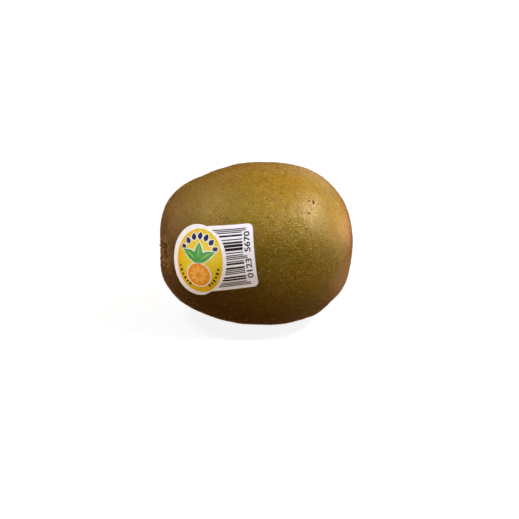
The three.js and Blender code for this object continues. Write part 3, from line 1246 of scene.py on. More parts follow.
@dataclass
class Down:
    """The skin's down: short hairs that lie nearly flat, thicker on the ground towards both ends."""

    density: float = 5.2
    length: float = 0.6
    width: float = 0.03
    lean: float = 1.2
    lean_spread: float = 0.28
    shortest: float = 0.5
    longest: float = 1.4

    def tree(self, finish: bpy.types.Material) -> bpy.types.NodeTree:
        """Builds the tree that scatters the hairs.

        Args:
            finish: Material of the hairs.

        Returns:
            The geometry tree.
        """
        sizes = {label: "NodeSocketFloat" for label in ("Density", "Length", "Width", "Lean", "Lean Spread")}
        tree, start, end = start_tree("down_on_skin", sizes | {"Seed": "NodeSocketInt"})
        size = start.outputs
        mask = add_node(tree, "GeometryNodeInputNamedAttribute", {"Name": "down"}).outputs[0]
        links = {0: size["Density"], 1: mask}
        density = add_node(tree, "ShaderNodeMath", links, operation="MULTIPLY").outputs[0]
        links = {"Mesh": size[0], "Density": density, "Seed": size["Seed"]}
        spots = add_node(tree, "GeometryNodeDistributePointsOnFaces", links)
        links = {"Vertices": 3, "Radius Top": 0.0, "Radius Bottom": size["Width"], "Depth": size["Length"]}
        hair = add_node(tree, "GeometryNodeMeshCone", links, fill_type="TRIANGLE_FAN")
        links = {0: size["Lean"], 1: size["Lean Spread"]}
        low, high = (
            add_node(tree, "ShaderNodeMath", links, operation=kind).outputs[0] for kind in ("SUBTRACT", "ADD")
        )
        lean, turn, stretch = (
            add_node(tree, "FunctionNodeRandomValue", {2: least, 3: most, "Seed": seed}).outputs[1]
            for least, most, seed in ((low, high, 3), (0.0, TURN, 5), (self.shortest, self.longest, 9))
        )
        tilt = add_node(tree, "ShaderNodeCombineXYZ", {1: lean, 2: turn}).outputs[0]
        own = add_node(tree, "FunctionNodeEulerToRotation", {0: tilt}).outputs[0]
        links = {0: spots.outputs["Rotation"], 1: own}
        way = add_node(tree, "FunctionNodeRotateRotation", links, rotation_space="LOCAL").outputs[0]
        scale = add_node(tree, "ShaderNodeCombineXYZ", {0: 1.0, 1: 1.0, 2: stretch}).outputs[0]
        scatter = {"Points": spots.outputs[0], "Instance": hair.outputs[0], "Rotation": way, "Scale": scale}
        end_tree(tree, scatter, end, finish)
        return tree

    def build(self, skin: bpy.types.Object, finish: bpy.types.Material) -> bpy.types.Object:
        """Grows the down on the skin.

        Args:
            skin: Piece that carries the down mask.
            finish: Material of the hairs.

        Returns:
            The hairs, as one plain mesh.
        """
        sizes = {
            "Density": self.density / MM**2,
            "Length": self.length * MM,
            "Width": self.width * MM,
            "Lean": self.lean,
            "Lean Spread": self.lean_spread,
            "Seed": SEED,
        }
        down = grow("fruit_down", skin.data.copy(), self.tree(finish), sizes)
        settle(down, "fruit_skin")
        return down


# --- Ends -----------------------------------------------------------------------------------------


@dataclass(frozen=True)
class DriedDraws:
    """Sizes and places of the dried pieces, drawn in the same order as the CAD model draws them."""

    sepals: int = 5
    rings: tuple[tuple[int, float, float], ...] = ((6, 1.4, 0.8), (10, 2.9, 1.15), (14, 4.3, 1.3))
    style_length: float = 1.5

    def draw(self) -> tuple[list[Pair], list[Four]]:
        """Draws every dried piece.

        Returns:
            Angle and size of each sepal, and angle, radius, lean and length of each style.
        """
        numbers = seeded_numbers(SEED)

        def about(middle: float, spread: float) -> float:
            """A number near the middle."""
            return middle + spread * (next(numbers) - 0.5)

        sepals = [(about(i, 0.3) * TURN / self.sepals, about(1, 0.4)) for i in range(self.sepals)]
        styles = []
        for count, radius, lean in self.rings:
            for i in range(count):
                angle = about(i, 0.6) * TURN / count
                styles.append((angle, about(radius, 0.8), about(lean, 0.4), about(self.style_length, 0.9)))
        return sepals, styles


@dataclass
class StemEnd:
    """Dried sepals round the stalk's scar: thin flaps with a curled, ragged edge."""

    body: FruitBody
    root_radius: float = 1.9
    length: float = 3.6
    width: float = 3.5
    taper: float = 0.5
    thickness: float = 0.22
    lift: float = 0.1
    curl: float = 0.75
    clearance: float = 0.1
    root_depth: float = 0.35
    rib_height: float = 0.07
    ribs: float = 4.5
    blunting: float = 0.12
    # Waves across and depth of the ragged edge.
    rags: tuple[Pair, ...] = ((9, 0.07), (23, 0.05))
    along_steps: int = 18
    across_steps: int = 14

    def sepal(self, angle: float, size: float, draw: float) -> Solid:
        """Builds one sepal.

        Args:
            angle: Where it stands round the scar.
            size: Its size as a share of a middling one.
            draw: Number from 0 to 1 that sets its own raggedness.

        Returns:
            Its closed solid.
        """
        ranges = np.linspace(0, 1, self.along_steps + 1), np.linspace(-1, 1, self.across_steps + 1)
        along, across = np.meshgrid(*ranges, indexing="ij")
        (wide, deep), (fine, shallow) = self.rags
        ragged = 1 + deep * np.sin(wide * across + TURN * draw) + shallow * np.sin(fine * across + 9 * draw)
        reach = along * np.where(along > 0.5, ragged, 1.0)
        span = np.sqrt(np.clip(1 - (1.9 * along - 0.9) ** 2, 0.05, 1)) * self.width * size / 2
        side = across * span * (1 - self.taper * along)
        radius = self.root_radius + self.length * size * reach * (1 - self.blunting * across**2)
        y = radius * math.cos(angle) - side * math.sin(angle)
        z = radius * math.sin(angle) + side * math.cos(angle)
        ribs = self.rib_height * np.cos(self.ribs * math.pi * across) * (1 - along)
        cup = (0.25 + 0.2 * draw) * across**2 * along
        rise = self.lift * self.length * along + self.curl * along**3 * (0.6 + 0.8 * draw) + ribs + cup
        x = self.body.stem_surface(y, z) + self.clearance + rise
        top = np.stack([x, y, z], axis=-1).reshape(-1, 3)
        # The sheet thickens towards its root, which is sunk in the fruit.
        under = top.copy()
        under[:, 0] -= self.thickness
        under[:, 0] -= self.root_depth * (1 - along.ravel()) ** 2
        return np.concatenate([top, under]), sheet_faces(self.along_steps + 1, self.across_steps + 1)

    def build(self, draws: list[Pair], finish: bpy.types.Material) -> bpy.types.Object:
        """Builds all sepals as one piece.

        Args:
            draws: Angle and size of each.
            finish: Their material.

        Returns:
            The piece.
        """
        numbers = seeded_numbers(SEED + 4)
        points, faces = joined([self.sepal(angle, size, next(numbers)) for angle, size in draws])
        sepals = make_piece("stem_sepals", (self.body.to_frame(points), faces), finish, crease=60)
        settle(sepals, "fruit_skin")
        return sepals


def sheet_faces(rows: int, columns: int) -> Faces:
    """Faces of a closed sheet whose upper points come first, row by row, and then its lower ones.

    Args:
        rows: Rows of points, which run towards the sheet's first direction.
        columns: Points in a row, which run towards its second direction.

    Returns:
        Faces of both sides and of the rim, with their outer side counter-clockwise.
    """
    count = rows * columns
    faces: Faces = []
    for i in range(rows - 1):
        for j in range(columns - 1):
            a, b = i * columns + j, (i + 1) * columns + j
            faces.append((a, b, b + 1, a + 1))
            faces.append((count + a, count + a + 1, count + b + 1, count + b))
    rim = list(range(columns))
    rim += [i * columns + columns - 1 for i in range(1, rows)]
    rim += [(rows - 1) * columns + j for j in range(columns - 2, -1, -1)]
    rim += [i * columns for i in range(rows - 2, 0, -1)]
    for here, there in zip(rim, rim[1:] + rim[:1]):
        faces.append((here, there, count + there, count + here))
    return faces


@dataclass
class BlossomEnd:
    """Dried styles on the crown of the blossom end: little bent, tapered stubs in rings."""

    body: FruitBody
    root: float = 0.5
    width: float = 0.36
    tip: float = 0.14
    bend: float = 0.75
    stray: float = 0.9
    shortening: float = 0.85
    # Knots: noise waves in a style's length, and what is added to the noise for its girth.
    knot_waves: float = 3.0
    least_girth: float = 0.6
    sides: int = 7
    steps: int = 7

    def seeds(self, styles: list[Four]) -> bpy.types.Mesh:
        """Marks where each style stands, which way it points and how long it is.

        Args:
            styles: Angle, radius, lean and length of each.

        Returns:
            A mesh of loose points.
        """
        angle, radius, lean, length = np.array(styles).T
        y = self.body.crown_y + radius * np.cos(angle)
        z = self.body.crown_z + radius * np.sin(angle)
        x = self.body.blossom_surface(y, z)
        places = self.body.to_frame(np.stack([x, y, z], axis=-1)) * MM
        numbers = seeded_numbers(SEED + 5)
        astray = angle + np.array([self.stray * (next(numbers) - 0.5) for _ in styles])
        out = np.sin(lean)
        ways = np.stack([-np.cos(lean), out * np.cos(astray), out * np.sin(astray)], axis=-1)
        tall = (length * self.shortening + self.root) * MM
        return loose_points("style_places", places, way=ways, tall=tall)

    def tree(self, finish: bpy.types.Material) -> bpy.types.NodeTree:
        """Builds the tree that stands a bent stub on each place.

        Args:
            finish: Material of the styles.

        Returns:
            The geometry tree.
        """
        sizes = {label: "NodeSocketFloat" for label in ("Root", "Width", "Tip", "Bend")}
        tree, start, end = start_tree("styles_on_crown", sizes)
        size = start.outputs
        links = {"Vertices": self.sides, "Side Segments": self.steps, "Depth": 1.0}
        links |= {"Radius Top": size["Tip"], "Radius Bottom": size["Width"]}
        stub = add_node(tree, "GeometryNodeMeshCone", links, fill_type="TRIANGLE_FAN").outputs[0]
        place = add_node(tree, "GeometryNodeInputPosition").outputs[0]
        tall = add_node(tree, "ShaderNodeSeparateXYZ", {0: place}).outputs[2]
        arch = add_node(tree, "ShaderNodeMath", {0: tall, 1: 2.0}, operation="POWER").outputs[0]
        shift = add_node(tree, "ShaderNodeMath", {0: arch, 1: size["Bend"]}, operation="MULTIPLY").outputs[0]
        knots = add_node(tree, "ShaderNodeTexNoise", {"Scale": self.knot_waves, "Detail": 1.0}).outputs[0]
        girth = add_node(tree, "ShaderNodeMath", {0: knots, 1: self.least_girth}).outputs[0]
        links = {0: place, 1: add_node(tree, "ShaderNodeCombineXYZ", {0: girth, 1: girth, 2: 1.0}).outputs[0]}
        knotted = add_node(tree, "ShaderNodeVectorMath", links, operation="MULTIPLY").outputs[0]
        offset = add_node(tree, "ShaderNodeCombineXYZ", {0: shift}).outputs[0]
        links = {0: stub, "Position": knotted, "Offset": offset}
        bent = add_node(tree, "GeometryNodeSetPosition", links).outputs[0]
        way, high = (
            add_node(tree, "GeometryNodeInputNamedAttribute", {"Name": name}, data_type=kind).outputs[0]
            for name, kind in (("way", "FLOAT_VECTOR"), ("tall", "FLOAT"))
        )
        turned = add_node(tree, "FunctionNodeAlignRotationToVector", {"Vector": way}, axis="Z").outputs[0]
        spin = add_node(tree, "FunctionNodeRandomValue", {2: 0.0, 3: TURN, "Seed": 4}).outputs[1]
        own = add_node(tree, "FunctionNodeAxisAngleToRotation", {"Axis": (0, 0, 1), "Angle": spin}).outputs[0]
        links = {0: turned, 1: own}
        turned = add_node(tree, "FunctionNodeRotateRotation", links, rotation_space="LOCAL").outputs[0]
        links = {0: way, "Scale": size["Root"]}
        lift = add_node(tree, "ShaderNodeVectorMath", links, operation="SCALE").outputs[0]
        links = {0: lift, 1: (-1, -1, -1)}
        sunk = add_node(tree, "ShaderNodeVectorMath", links, operation="MULTIPLY").outputs[0]
        spots = add_node(tree, "GeometryNodeSetPosition", {0: size[0], "Offset": sunk}).outputs[0]
        scale = add_node(tree, "ShaderNodeCombineXYZ", {0: MM, 1: MM, 2: high}).outputs[0]
        scatter = {"Points": spots, "Instance": bent, "Rotation": turned, "Scale": scale}
        end_tree(tree, scatter, end, finish)
        return tree

    def build(self, styles: list[Four], finish: bpy.types.Material) -> bpy.types.Object:
        """Builds all styles as one piece.

        Args:
            styles: Angle, radius, lean and length of each.
            finish: Their material.

        Returns:
            The piece.
        """
        sizes = {"Root": self.root * MM, "Width": self.width, "Tip": self.tip, "Bend": self.bend}
        piece = grow("blossom_styles", self.seeds(styles), self.tree(finish), sizes)
        smooth(piece.data)
        settle(piece, "fruit_skin")
        return piece


# --- Label ----------------------------------------------------------------------------------------


@dataclass(frozen=True)
class LabelShape:
    """Outline of the label in its own frame: an ellipse, which leans a little, joined to a rounded tab."""

    half_width: float = 9.42
    half_height: float = 12.79
    tilt: float = -0.147
    tab_reach: float = 21.15
    tab_half_height: float = 11.57
    tab_rise: float = 0.26
    corner: float = 1.9
    middle: float = 5.0

    def tilted(self, flat: Points) -> Points:
        """Turns points u and v of the upright ellipse to where it leans against the tab."""
        lean, upright = math.sin(self.tilt), math.cos(self.tilt)
        return flat @ np.array([[upright, lean], [-lean, upright]])

    def outline(self, count: int) -> Points:
        """Evenly spaced points of the outline, counter-clockwise.

        Args:
            count: How many.

        Returns:
            Points u and v.
        """
        top = self.tab_rise + self.tab_half_height
        bottom = self.tab_rise - self.tab_half_height
        right = self.tab_reach - self.corner
        wide, tall = self.half_width * math.sin(self.tilt), self.half_height * math.cos(self.tilt)
        reach, lead = math.hypot(wide, tall), math.atan2(wide, tall)
        start = math.asin(top / reach) - lead
        end = TURN + math.asin(bottom / reach) - lead
        bow = self.tilted(arc((0, 0), (self.half_width, self.half_height), start, end, 400))
        low = arc((right, bottom + self.corner), (self.corner, self.corner), -TURN / 4, 0, 30)
        high = arc((right, top - self.corner), (self.corner, self.corner), 0, TURN / 4, 30)
        ring = np.concatenate([bow, low, high, bow[:1]])
        walked = np.concatenate([[0], np.cumsum(np.linalg.norm(np.diff(ring, axis=0), axis=1))])
        even = np.linspace(0, walked[-1], count, endpoint=False)
        return np.stack([np.interp(even, walked, ring[:, i]) for i in (0, 1)], axis=-1)

    def edge_distance(self, flat: Points) -> Points:
        """Distance of points outside the outline, below 0 inside it.

        Args:
            flat: Label coordinates u and v of each point.

        Returns:
            The distances, in millimetres.
        """
        u, v = flat[:, 0], flat[:, 1]
        own = replace(self, tilt=-self.tilt).tilted(flat[:, :2])
        level = np.hypot(own[:, 0] / self.half_width, own[:, 1] / self.half_height)
        bow = (level - 1) * min(self.half_width, self.half_height)
        across = np.abs(u - self.tab_reach / 2) - (self.tab_reach / 2 - self.corner)
        up = np.abs(v - self.tab_rise) - (self.tab_half_height - self.corner)
        outside = np.hypot(np.maximum(across, 0), np.maximum(up, 0))
        return np.minimum(bow, outside + np.minimum(np.maximum(across, up), 0) - self.corner)


def arc(middle: Pair, radii: Pair, start: float, end: float, count: int) -> Points:
    """Points along an arc of an ellipse, in label coordinates.

    Args:
        middle: Centre of the ellipse.
        radii: Its half sizes.
        start: First angle.
        end: Last angle.
        count: Number of points.

    Returns:
        The points.
    """
    angles = np.linspace(start, end, count)
    return np.stack([middle[0] + radii[0] * np.cos(angles), middle[1] + radii[1] * np.sin(angles)], axis=-1)


def ellipse(middle: Pair, radii: Pair, count: int) -> Points:
    """Points of a whole ellipse, counter-clockwise."""
    return arc(middle, radii, 0, TURN, count + 1)[:-1]


def film(outline: Points, rings: int, low: float, high: float, middle: Points | None = None) -> Solid:
    """Closed thin solid in label coordinates, filled with rings so that it can bend with the skin.

    Args:
        outline: Points u and v of its edge, counter-clockwise and in sight of its middle.
        rings: Rings of faces from its middle to its edge.
        low: Height of its underside.
        high: Height of its upper side.
        middle: Point that the rings shrink to.

    Returns:
        Points of u, v and height, and faces.
    """
    heart = outline.mean(axis=0) if middle is None else middle
    wide = len(outline)
    shares = np.linspace(0, 1, rings + 1)[1:]
    flat = np.concatenate([heart[None], *[heart + (outline - heart) * share for share in shares]])
    side = 1 + rings * wide
    points = np.concatenate([np.column_stack([flat, np.full(side, h)]) for h in (high, low)])
    faces: Faces = []
    for j in range(wide):
        k = (j + 1) % wide
        faces.append((0, 1 + j, 1 + k))
        faces.append((side, side + 1 + k, side + 1 + j))
        for i in range(rings - 1):
            a, b = 1 + i * wide, 1 + (i + 1) * wide
            faces.append((a + j, b + j, b + k, a + k))
            faces.append((side + a + j, side + a + k, side + b + k, side + b + j))
        edge = 1 + (rings - 1) * wide
        faces.append((edge + j, side + edge + j, side + edge + k, edge + k))
    return points, faces


@dataclass
class PaperLabel:
    """The label's paper: one thin sheet that follows the skin, its edge a hair's breadth off it."""

    place: LabelPlace
    shape: LabelShape
    gap: float = 0.04
    thickness: float = 0.11
    edge_lift: float = 0.1
    lift_width: float = 1.2
    segments: int = 260
    rings: int = 26

    def lift(self, flat: Points) -> Points:
        """How far the paper stands up towards its edge."""
        inside = np.clip(-self.shape.edge_distance(flat), 0, None)
        return self.edge_lift * bell(inside, self.lift_width)

    def drape(self, points: Points) -> Points:
        """Lays points of the label on the skin: their height counts from the paper's upper side.

        Args:
            points: Points of u, v and height.

        Returns:
            Their places in the row frame.
        """
        flat = points.copy()
        flat[:, 2] += self.gap + self.thickness + self.lift(points)
        return self.place.drape(flat)

    def build(self, finish: bpy.types.Material) -> bpy.types.Object:
        """Builds the paper in place of the CAD label.

        Args:
            finish: Its material.

        Returns:
            The piece.
        """
        middle = np.array([self.shape.middle, 0.0])
        points, faces = film(self.shape.outline(self.segments), self.rings, -self.thickness, 0.0, middle)
        paper = make_piece("label_paper_sheet", (self.drape(points), faces), finish)
        settle(paper, "label_paper", "label")
        return paper


@dataclass
class LabelPrint:
    """The label's print: a yellow field with leaves over a fruit slice, an arch of seeds, bars and digits."""

    paper: PaperLabel
    film_depth: float = 0.012
    film_sink: float = -0.02
    field_middle: Pair = (1.25, 0.0)
    field_radii: Pair = (8.6, 11.35)
    field_points: int = 160
    field_rings: int = 12
    # How far the warmer rim leans to the lower left.
    rim_lean: Pair = (0.25, 0.15)
    slice_middle: Pair = (1.25, -4.5)
    slice_radius: float = 4.1
    slice_rim: float = 0.45
    slice_points: int = 72
    wedges: int = 9
    # Ends of a wedge as shares of the slice's radius, its width, and how far the first one is turned.
    wedge_ends: Pair = (0.2, 0.86)
    wedge_width: float = 0.3
    wedge_turn: float = 0.2
    leaf_root: Pair = (1.25, -0.3)
    # Tip, width and bow of each leaf, and how much wider and longer its halo is.
    leaves_drawn: tuple[tuple[Pair, float, float], ...] = (
        ((-4.6, 3.9), 2.9, -0.6),
        ((1.25, 6.8), 3.1, 0.0),
        ((7.1, 3.9), 2.9, 0.6),
    )
    halo_width: float = 0.7
    halo_reach: float = 0.06
    vein_width: float = 0.34
    seeds: int = 7
    # First angle and span of the arch, and the ends of its seeds and halos as shares of the field's size.
    arch_degrees: Pair = (32, 116)
    seed_ends: Pair = (0.67, 0.91)
    seed_halo_ends: Pair = (0.64, 0.94)
    seed_width: float = 1.75
    seed_halo_width: float = 2.5
    seed_bow: float = 0.1
    # Dots and diamonds on each side: how many, the first one's angle and the step, and where they lie.
    dots: int = 6
    dot_degrees: Pair = (30, 9.5)
    dot_ring: float = 0.84
    dot_radius: float = 0.42
    dot_points: int = 16
    diamond_radii: Pair = (0.85, 0.5)
    ink_gain: float = 0.2
    bar_bottom: float = -10.0
    bar_top: float = 10.4
    bar_gap: float = 1.25
    bar_right: float = 17.2
    guard_right: float = 18.6
    # Modules in all, those that carry long bars, those between which the others are drawn, and how much wider
    # than one module a bar and a space may be drawn.
    bar_modules: int = 67
    guard_modules: tuple[int, ...] = (0, 2, 32, 34, 64, 66)
    bar_ranges: tuple[Pair, ...] = ((4, 31), (36, 63))
    bar_spread: float = 2.6
    space_spread: float = 2.4
    bar_steps: int = 9
    # Name, digits and both ends of each group, and where its digits stand.
    digit_groups: tuple[tuple[str, str, float, float], ...] = (
        ("low", "0123", -7.7, -0.5),
        ("high", "5670", 1.9, 9.1),
    )
    digit_base: float = 19.8
    digit_height: float = 2.1
    # The font's capitals are this share of its size.
    capital_share: float = 0.72
    digit_swell: float = 0.06

    def layer(self, depth: int) -> tuple[float, float]:
        """Heights of the underside and the upper side of a layer of ink, the first being 1."""
        return self.film_sink + self.film_depth * (depth - 1) * 0.5, self.film_depth * depth

    def print_solid(self, name: str, solids: list[Solid], ink: Ink) -> bpy.types.Object:
        """Lays solids of one ink on the paper as one piece.

        Args:
            name: What the print shows.
            solids: Solids in label coordinates.
            ink: Their ink.

        Returns:
            The piece.
        """
        points, faces = joined(solids)
        points[:, :2] = self.paper.shape.tilted(points[:, :2])
        piece = make_piece(f"print_{name}", (self.paper.drape(points), faces), PrintedInk(ink).build())
        settle(piece, "label_paper")
        return piece

    def leaf(self, root: Pair, tip: Pair, width: float, bow: float) -> Points:
        """Outline of a leaf.

        Args:
            root: Where it starts.
            tip: Where it ends.
            width: Its full width.
            bow: How far its middle is shifted to the left of the line from root to tip.

        Returns:
            Points of its edge, counter-clockwise.
        """
        start, end = np.array(root), np.array(tip)
        way = end - start
        left = np.array([-way[1], way[0]]) / np.linalg.norm(way)
        t = np.linspace(0, 1, 15)
        half = width / 2 * np.sin(math.pi * t**0.85)
        spine = start + way * t[:, None] + left * (bow * np.sin(math.pi * t))[:, None]
        right_edge = spine - left * half[:, None]
        left_edge = spine + left * half[:, None]
        return np.concatenate([right_edge, left_edge[-2:0:-1]])

    def field(self) -> None:
        """Prints the yellow field, with a number on each vertex for how near the lower left rim is."""
        edge = ellipse(self.field_middle, self.field_radii, self.field_points)
        solid = film(edge, self.field_rings, *self.layer(1))
        piece = self.print_solid("field", [solid], Ink.YELLOW)
        across, up = ((solid[0][:, i] - self.field_middle[i]) / self.field_radii[i] for i in (0, 1))
        near = np.hypot(across + 0.1, up) - self.rim_lean[0] * across - self.rim_lean[1] * up
        store(piece.data, "rim", np.clip(near, 0, 1))

    def oval(self, angle: float, share: float) -> Points:
        """Point on the ring round the field's middle that is a share of its size."""
        way = np.array([math.cos(angle), math.sin(angle)])
        return np.array(self.field_middle) + np.array(self.field_radii) * share * way

    def slice_of_fruit(self) -> None:
        """Prints a round slice of fruit with its segments, in the lower half of the field."""
        x, y = self.slice_middle
        reach = self.slice_radius
        rim = ellipse((x, y), (reach + self.slice_rim,) * 2, self.slice_points)
        self.print_solid("slice_rim", [film(rim, 4, *self.layer(2))], Ink.WHITE)
        disc = ellipse((x, y), (reach,) * 2, self.slice_points)
        self.print_solid("slice", [film(disc, 4, *self.layer(3))], Ink.ORANGE)
        wedges = []
        for i in range(self.wedges):
            angle = TURN * i / self.wedges + self.wedge_turn
            inner, outer = (
                (x + reach * share * math.cos(angle), y + reach * share * math.sin(angle))
                for share in self.wedge_ends
            )
            wedges.append(film(self.leaf(inner, outer, self.wedge_width * reach, 0.0), 2, *self.layer(4)))
        self.print_solid("slice_wedges", wedges, Ink.APRICOT)

    def leaves(self) -> None:
        """Prints three leaves that fan out above the slice, on pale halos."""
        root = self.leaf_root
        halos, blades, veins = [], [], []
        for tip, width, bow in self.leaves_drawn:
            beyond = tuple(end + self.halo_reach * (end - start) for start, end in zip(root, tip))
            halos.append(film(self.leaf(root, beyond, width + self.halo_width, bow), 3, *self.layer(4)))
            blades.append(film(self.leaf(root, tip, width, bow), 3, *self.layer(5)))
            veins.append(film(self.leaf(root, tip, self.vein_width, bow), 1, *self.layer(6)))
        self.print_solid("leaf_halos", halos, Ink.WHITE)
        self.print_solid("leaves", blades, Ink.GREEN)
        self.print_solid("leaf_veins", veins, Ink.LIME)

    def arch_of_seeds(self) -> None:
        """Prints the arch of seeds along the top of the field, each on its white halo."""
        first, span = self.arch_degrees
        for name, ends, width, layer, ink in (
            ("seed_halos", self.seed_halo_ends, self.seed_halo_width, 2, Ink.WHITE),
            ("seeds", self.seed_ends, self.seed_width, 3, Ink.NAVY),
        ):
            solids = []
            for i in range(self.seeds):
                angle = math.radians(first + span * i / (self.seeds - 1))
                root, tip = (tuple(self.oval(angle, share)) for share in ends)
                solids.append(film(self.leaf(root, tip, width, self.seed_bow), 3, *self.layer(layer)))
            self.print_solid(name, solids, ink)

    def dots_and_diamonds(self) -> None:
        """Prints dots and diamonds in turn, down both sides of the slice."""
        first, step = self.dot_degrees
        steps = np.linspace(0, 1, 4)[:-1, None]
        marks = []
        for i in range(self.dots):
            for side in (-1, 1):
                middle = self.oval(-math.pi / 2 + side * math.radians(first + step * i), self.dot_ring)
                out = unit(middle - np.array(self.field_middle))
                tall = out * self.diamond_radii[0]
                wide = np.array([-out[1], out[0]]) * self.diamond_radii[1]
                ring = [middle + tall, middle + wide, middle - tall, middle - wide]
                edge = np.concatenate([a + (b - a) * steps for a, b in zip(ring, ring[1:] + ring[:1])])
                if i % 2:
                    edge = ellipse(tuple(middle), (self.dot_radius,) * 2, self.dot_points)
                marks.append(film(edge, 2, *self.layer(2)))
        self.print_solid("dots", marks, Ink.BLACK)

    def field_edge(self, v: float) -> float:
        """Place u of the tilted field's right edge at a height v."""
        edge = self.paper.shape.tilted(arc(self.field_middle, self.field_radii, 0, TURN, 721))
        return float(edge[np.abs(edge[:, 1] - v) < 0.2, 0].max())

    def bar_places(self) -> bpy.types.Mesh:
        """Marks the middle, length and width of each bar, in label coordinates.

        Returns:
            A mesh of loose points. The widths are drawn from a seed, and stand for no number.
        """
        numbers = seeded_numbers(SEED + 20)
        module = (self.bar_top - self.bar_bottom) / self.bar_modules
        rows: list[tuple[float, float, bool]] = [(at, 1, True) for at in self.guard_modules]
        for start, end in self.bar_ranges:
            at = start
            while at < end:
                wide = min(1 + int(next(numbers) * self.bar_spread), end - at)
                rows.append((at, wide, False))
                at += wide + 1 + int(next(numbers) * self.space_spread)
        bars = []
        for at, modules, guard in rows:
            v = self.bar_bottom + module * (at + modules / 2)
            left = self.field_edge(v) + self.bar_gap
            right = self.guard_right if guard else self.bar_right
            middle = ((left + right) / 2, v, sum(self.layer(1)) / 2)
            bars.append((*middle, right - left, module * (modules + self.ink_gain)))
        bars = np.array(bars)
        return loose_points("bar_places", bars[:, :3], long=bars[:, 3], wide=bars[:, 4])

    def bar_tree(self, finish: bpy.types.Material) -> bpy.types.NodeTree:
        """Builds the tree that lays a flat bar on each place.

        Args:
            finish: Ink of the bars.

        Returns:
            The geometry tree.
        """
        tree, start, end = start_tree("bars_in_rows", {"Depth": "NodeSocketFloat", "Steps": "NodeSocketInt"})
        bar = add_node(tree, "GeometryNodeMeshCube", {"Vertices X": start.outputs["Steps"]}).outputs[0]
        long, wide = (
            add_node(tree, "GeometryNodeInputNamedAttribute", {"Name": name}).outputs[0]
            for name in ("long", "wide")
        )
        links = {0: long, 1: wide, 2: start.outputs["Depth"]}
        scale = add_node(tree, "ShaderNodeCombineXYZ", links).outputs[0]
        end_tree(tree, {"Points": start.outputs[0], "Instance": bar, "Scale": scale}, end, finish)
        return tree

    def lay_on_paper(self, piece: bpy.types.Object) -> None:
        """Bends a flat piece in label coordinates onto the paper.

        Args:
            piece: Its points are u, v and height.
        """
        count = len(piece.data.vertices)
        flat = np.zeros(count * 3, np.float32)
        piece.data.vertices.foreach_get("co", flat)
        draped = self.paper.drape(flat.reshape(-1, 3).astype(float)) * MM
        piece.data.vertices.foreach_set("co", draped.astype(np.float32).ravel())
        smooth(piece.data)
        piece.data.set_sharp_from_angle(angle=math.radians(50))
        piece.data.update()
        settle(piece, "label_paper")

    def bars(self) -> None:
        """Prints the bars."""
        low, high = self.layer(1)
        tree = self.bar_tree(PrintedInk(Ink.BLACK).build())
        sizes = {"Depth": high - low, "Steps": self.bar_steps}
        self.lay_on_paper(grow("print_bars", self.bar_places(), tree, sizes))

    def digits(self) -> None:
        """Prints two groups of plain digits that read up the tab."""
        finish = PrintedInk(Ink.BLACK).build()
        low, high = self.layer(1)
        for name, text, start, end in self.digit_groups:
            curve = bpy.data.curves.new(f"digits_{name}", "FONT")
            curve.body = text
            curve.size = self.digit_height / self.capital_share
            curve.extrude = (high - low) / 2
            curve.offset = self.digit_swell
            piece = plain_piece(f"print_digits_{name}", bpy.data.objects.new(curve.name, curve))
            mesh = piece.data
            flat = np.array([v.co for v in mesh.vertices])
            across = (flat[:, 0] - flat[:, 0].min()) / np.ptp(flat[:, 0])
            v = start + across * (end - start)
            placed = np.column_stack([self.digit_base - flat[:, 1], v, flat[:, 2] + (low + high) / 2])
            mesh.vertices.foreach_set("co", placed.astype(np.float32).ravel())
            mesh.materials.clear()
            mesh.materials.append(finish)
            self.lay_on_paper(piece)

    def build(self) -> None:
        """Prints everything on the label."""
        self.field()
        self.slice_of_fruit()
        self.leaves()
        self.arch_of_seeds()
        self.dots_and_diamonds()
        self.bars()
        self.digits()


# --- Studio ---------------------------------------------------------------------------------------


@dataclass(frozen=True)
class SoftLight:
    """A round soft box that faces the fruit: where it stands, how wide it is, and its power and colour."""

    name: str
    azimuth: float
    elevation: float
    size: float
    power: float
    colour: str


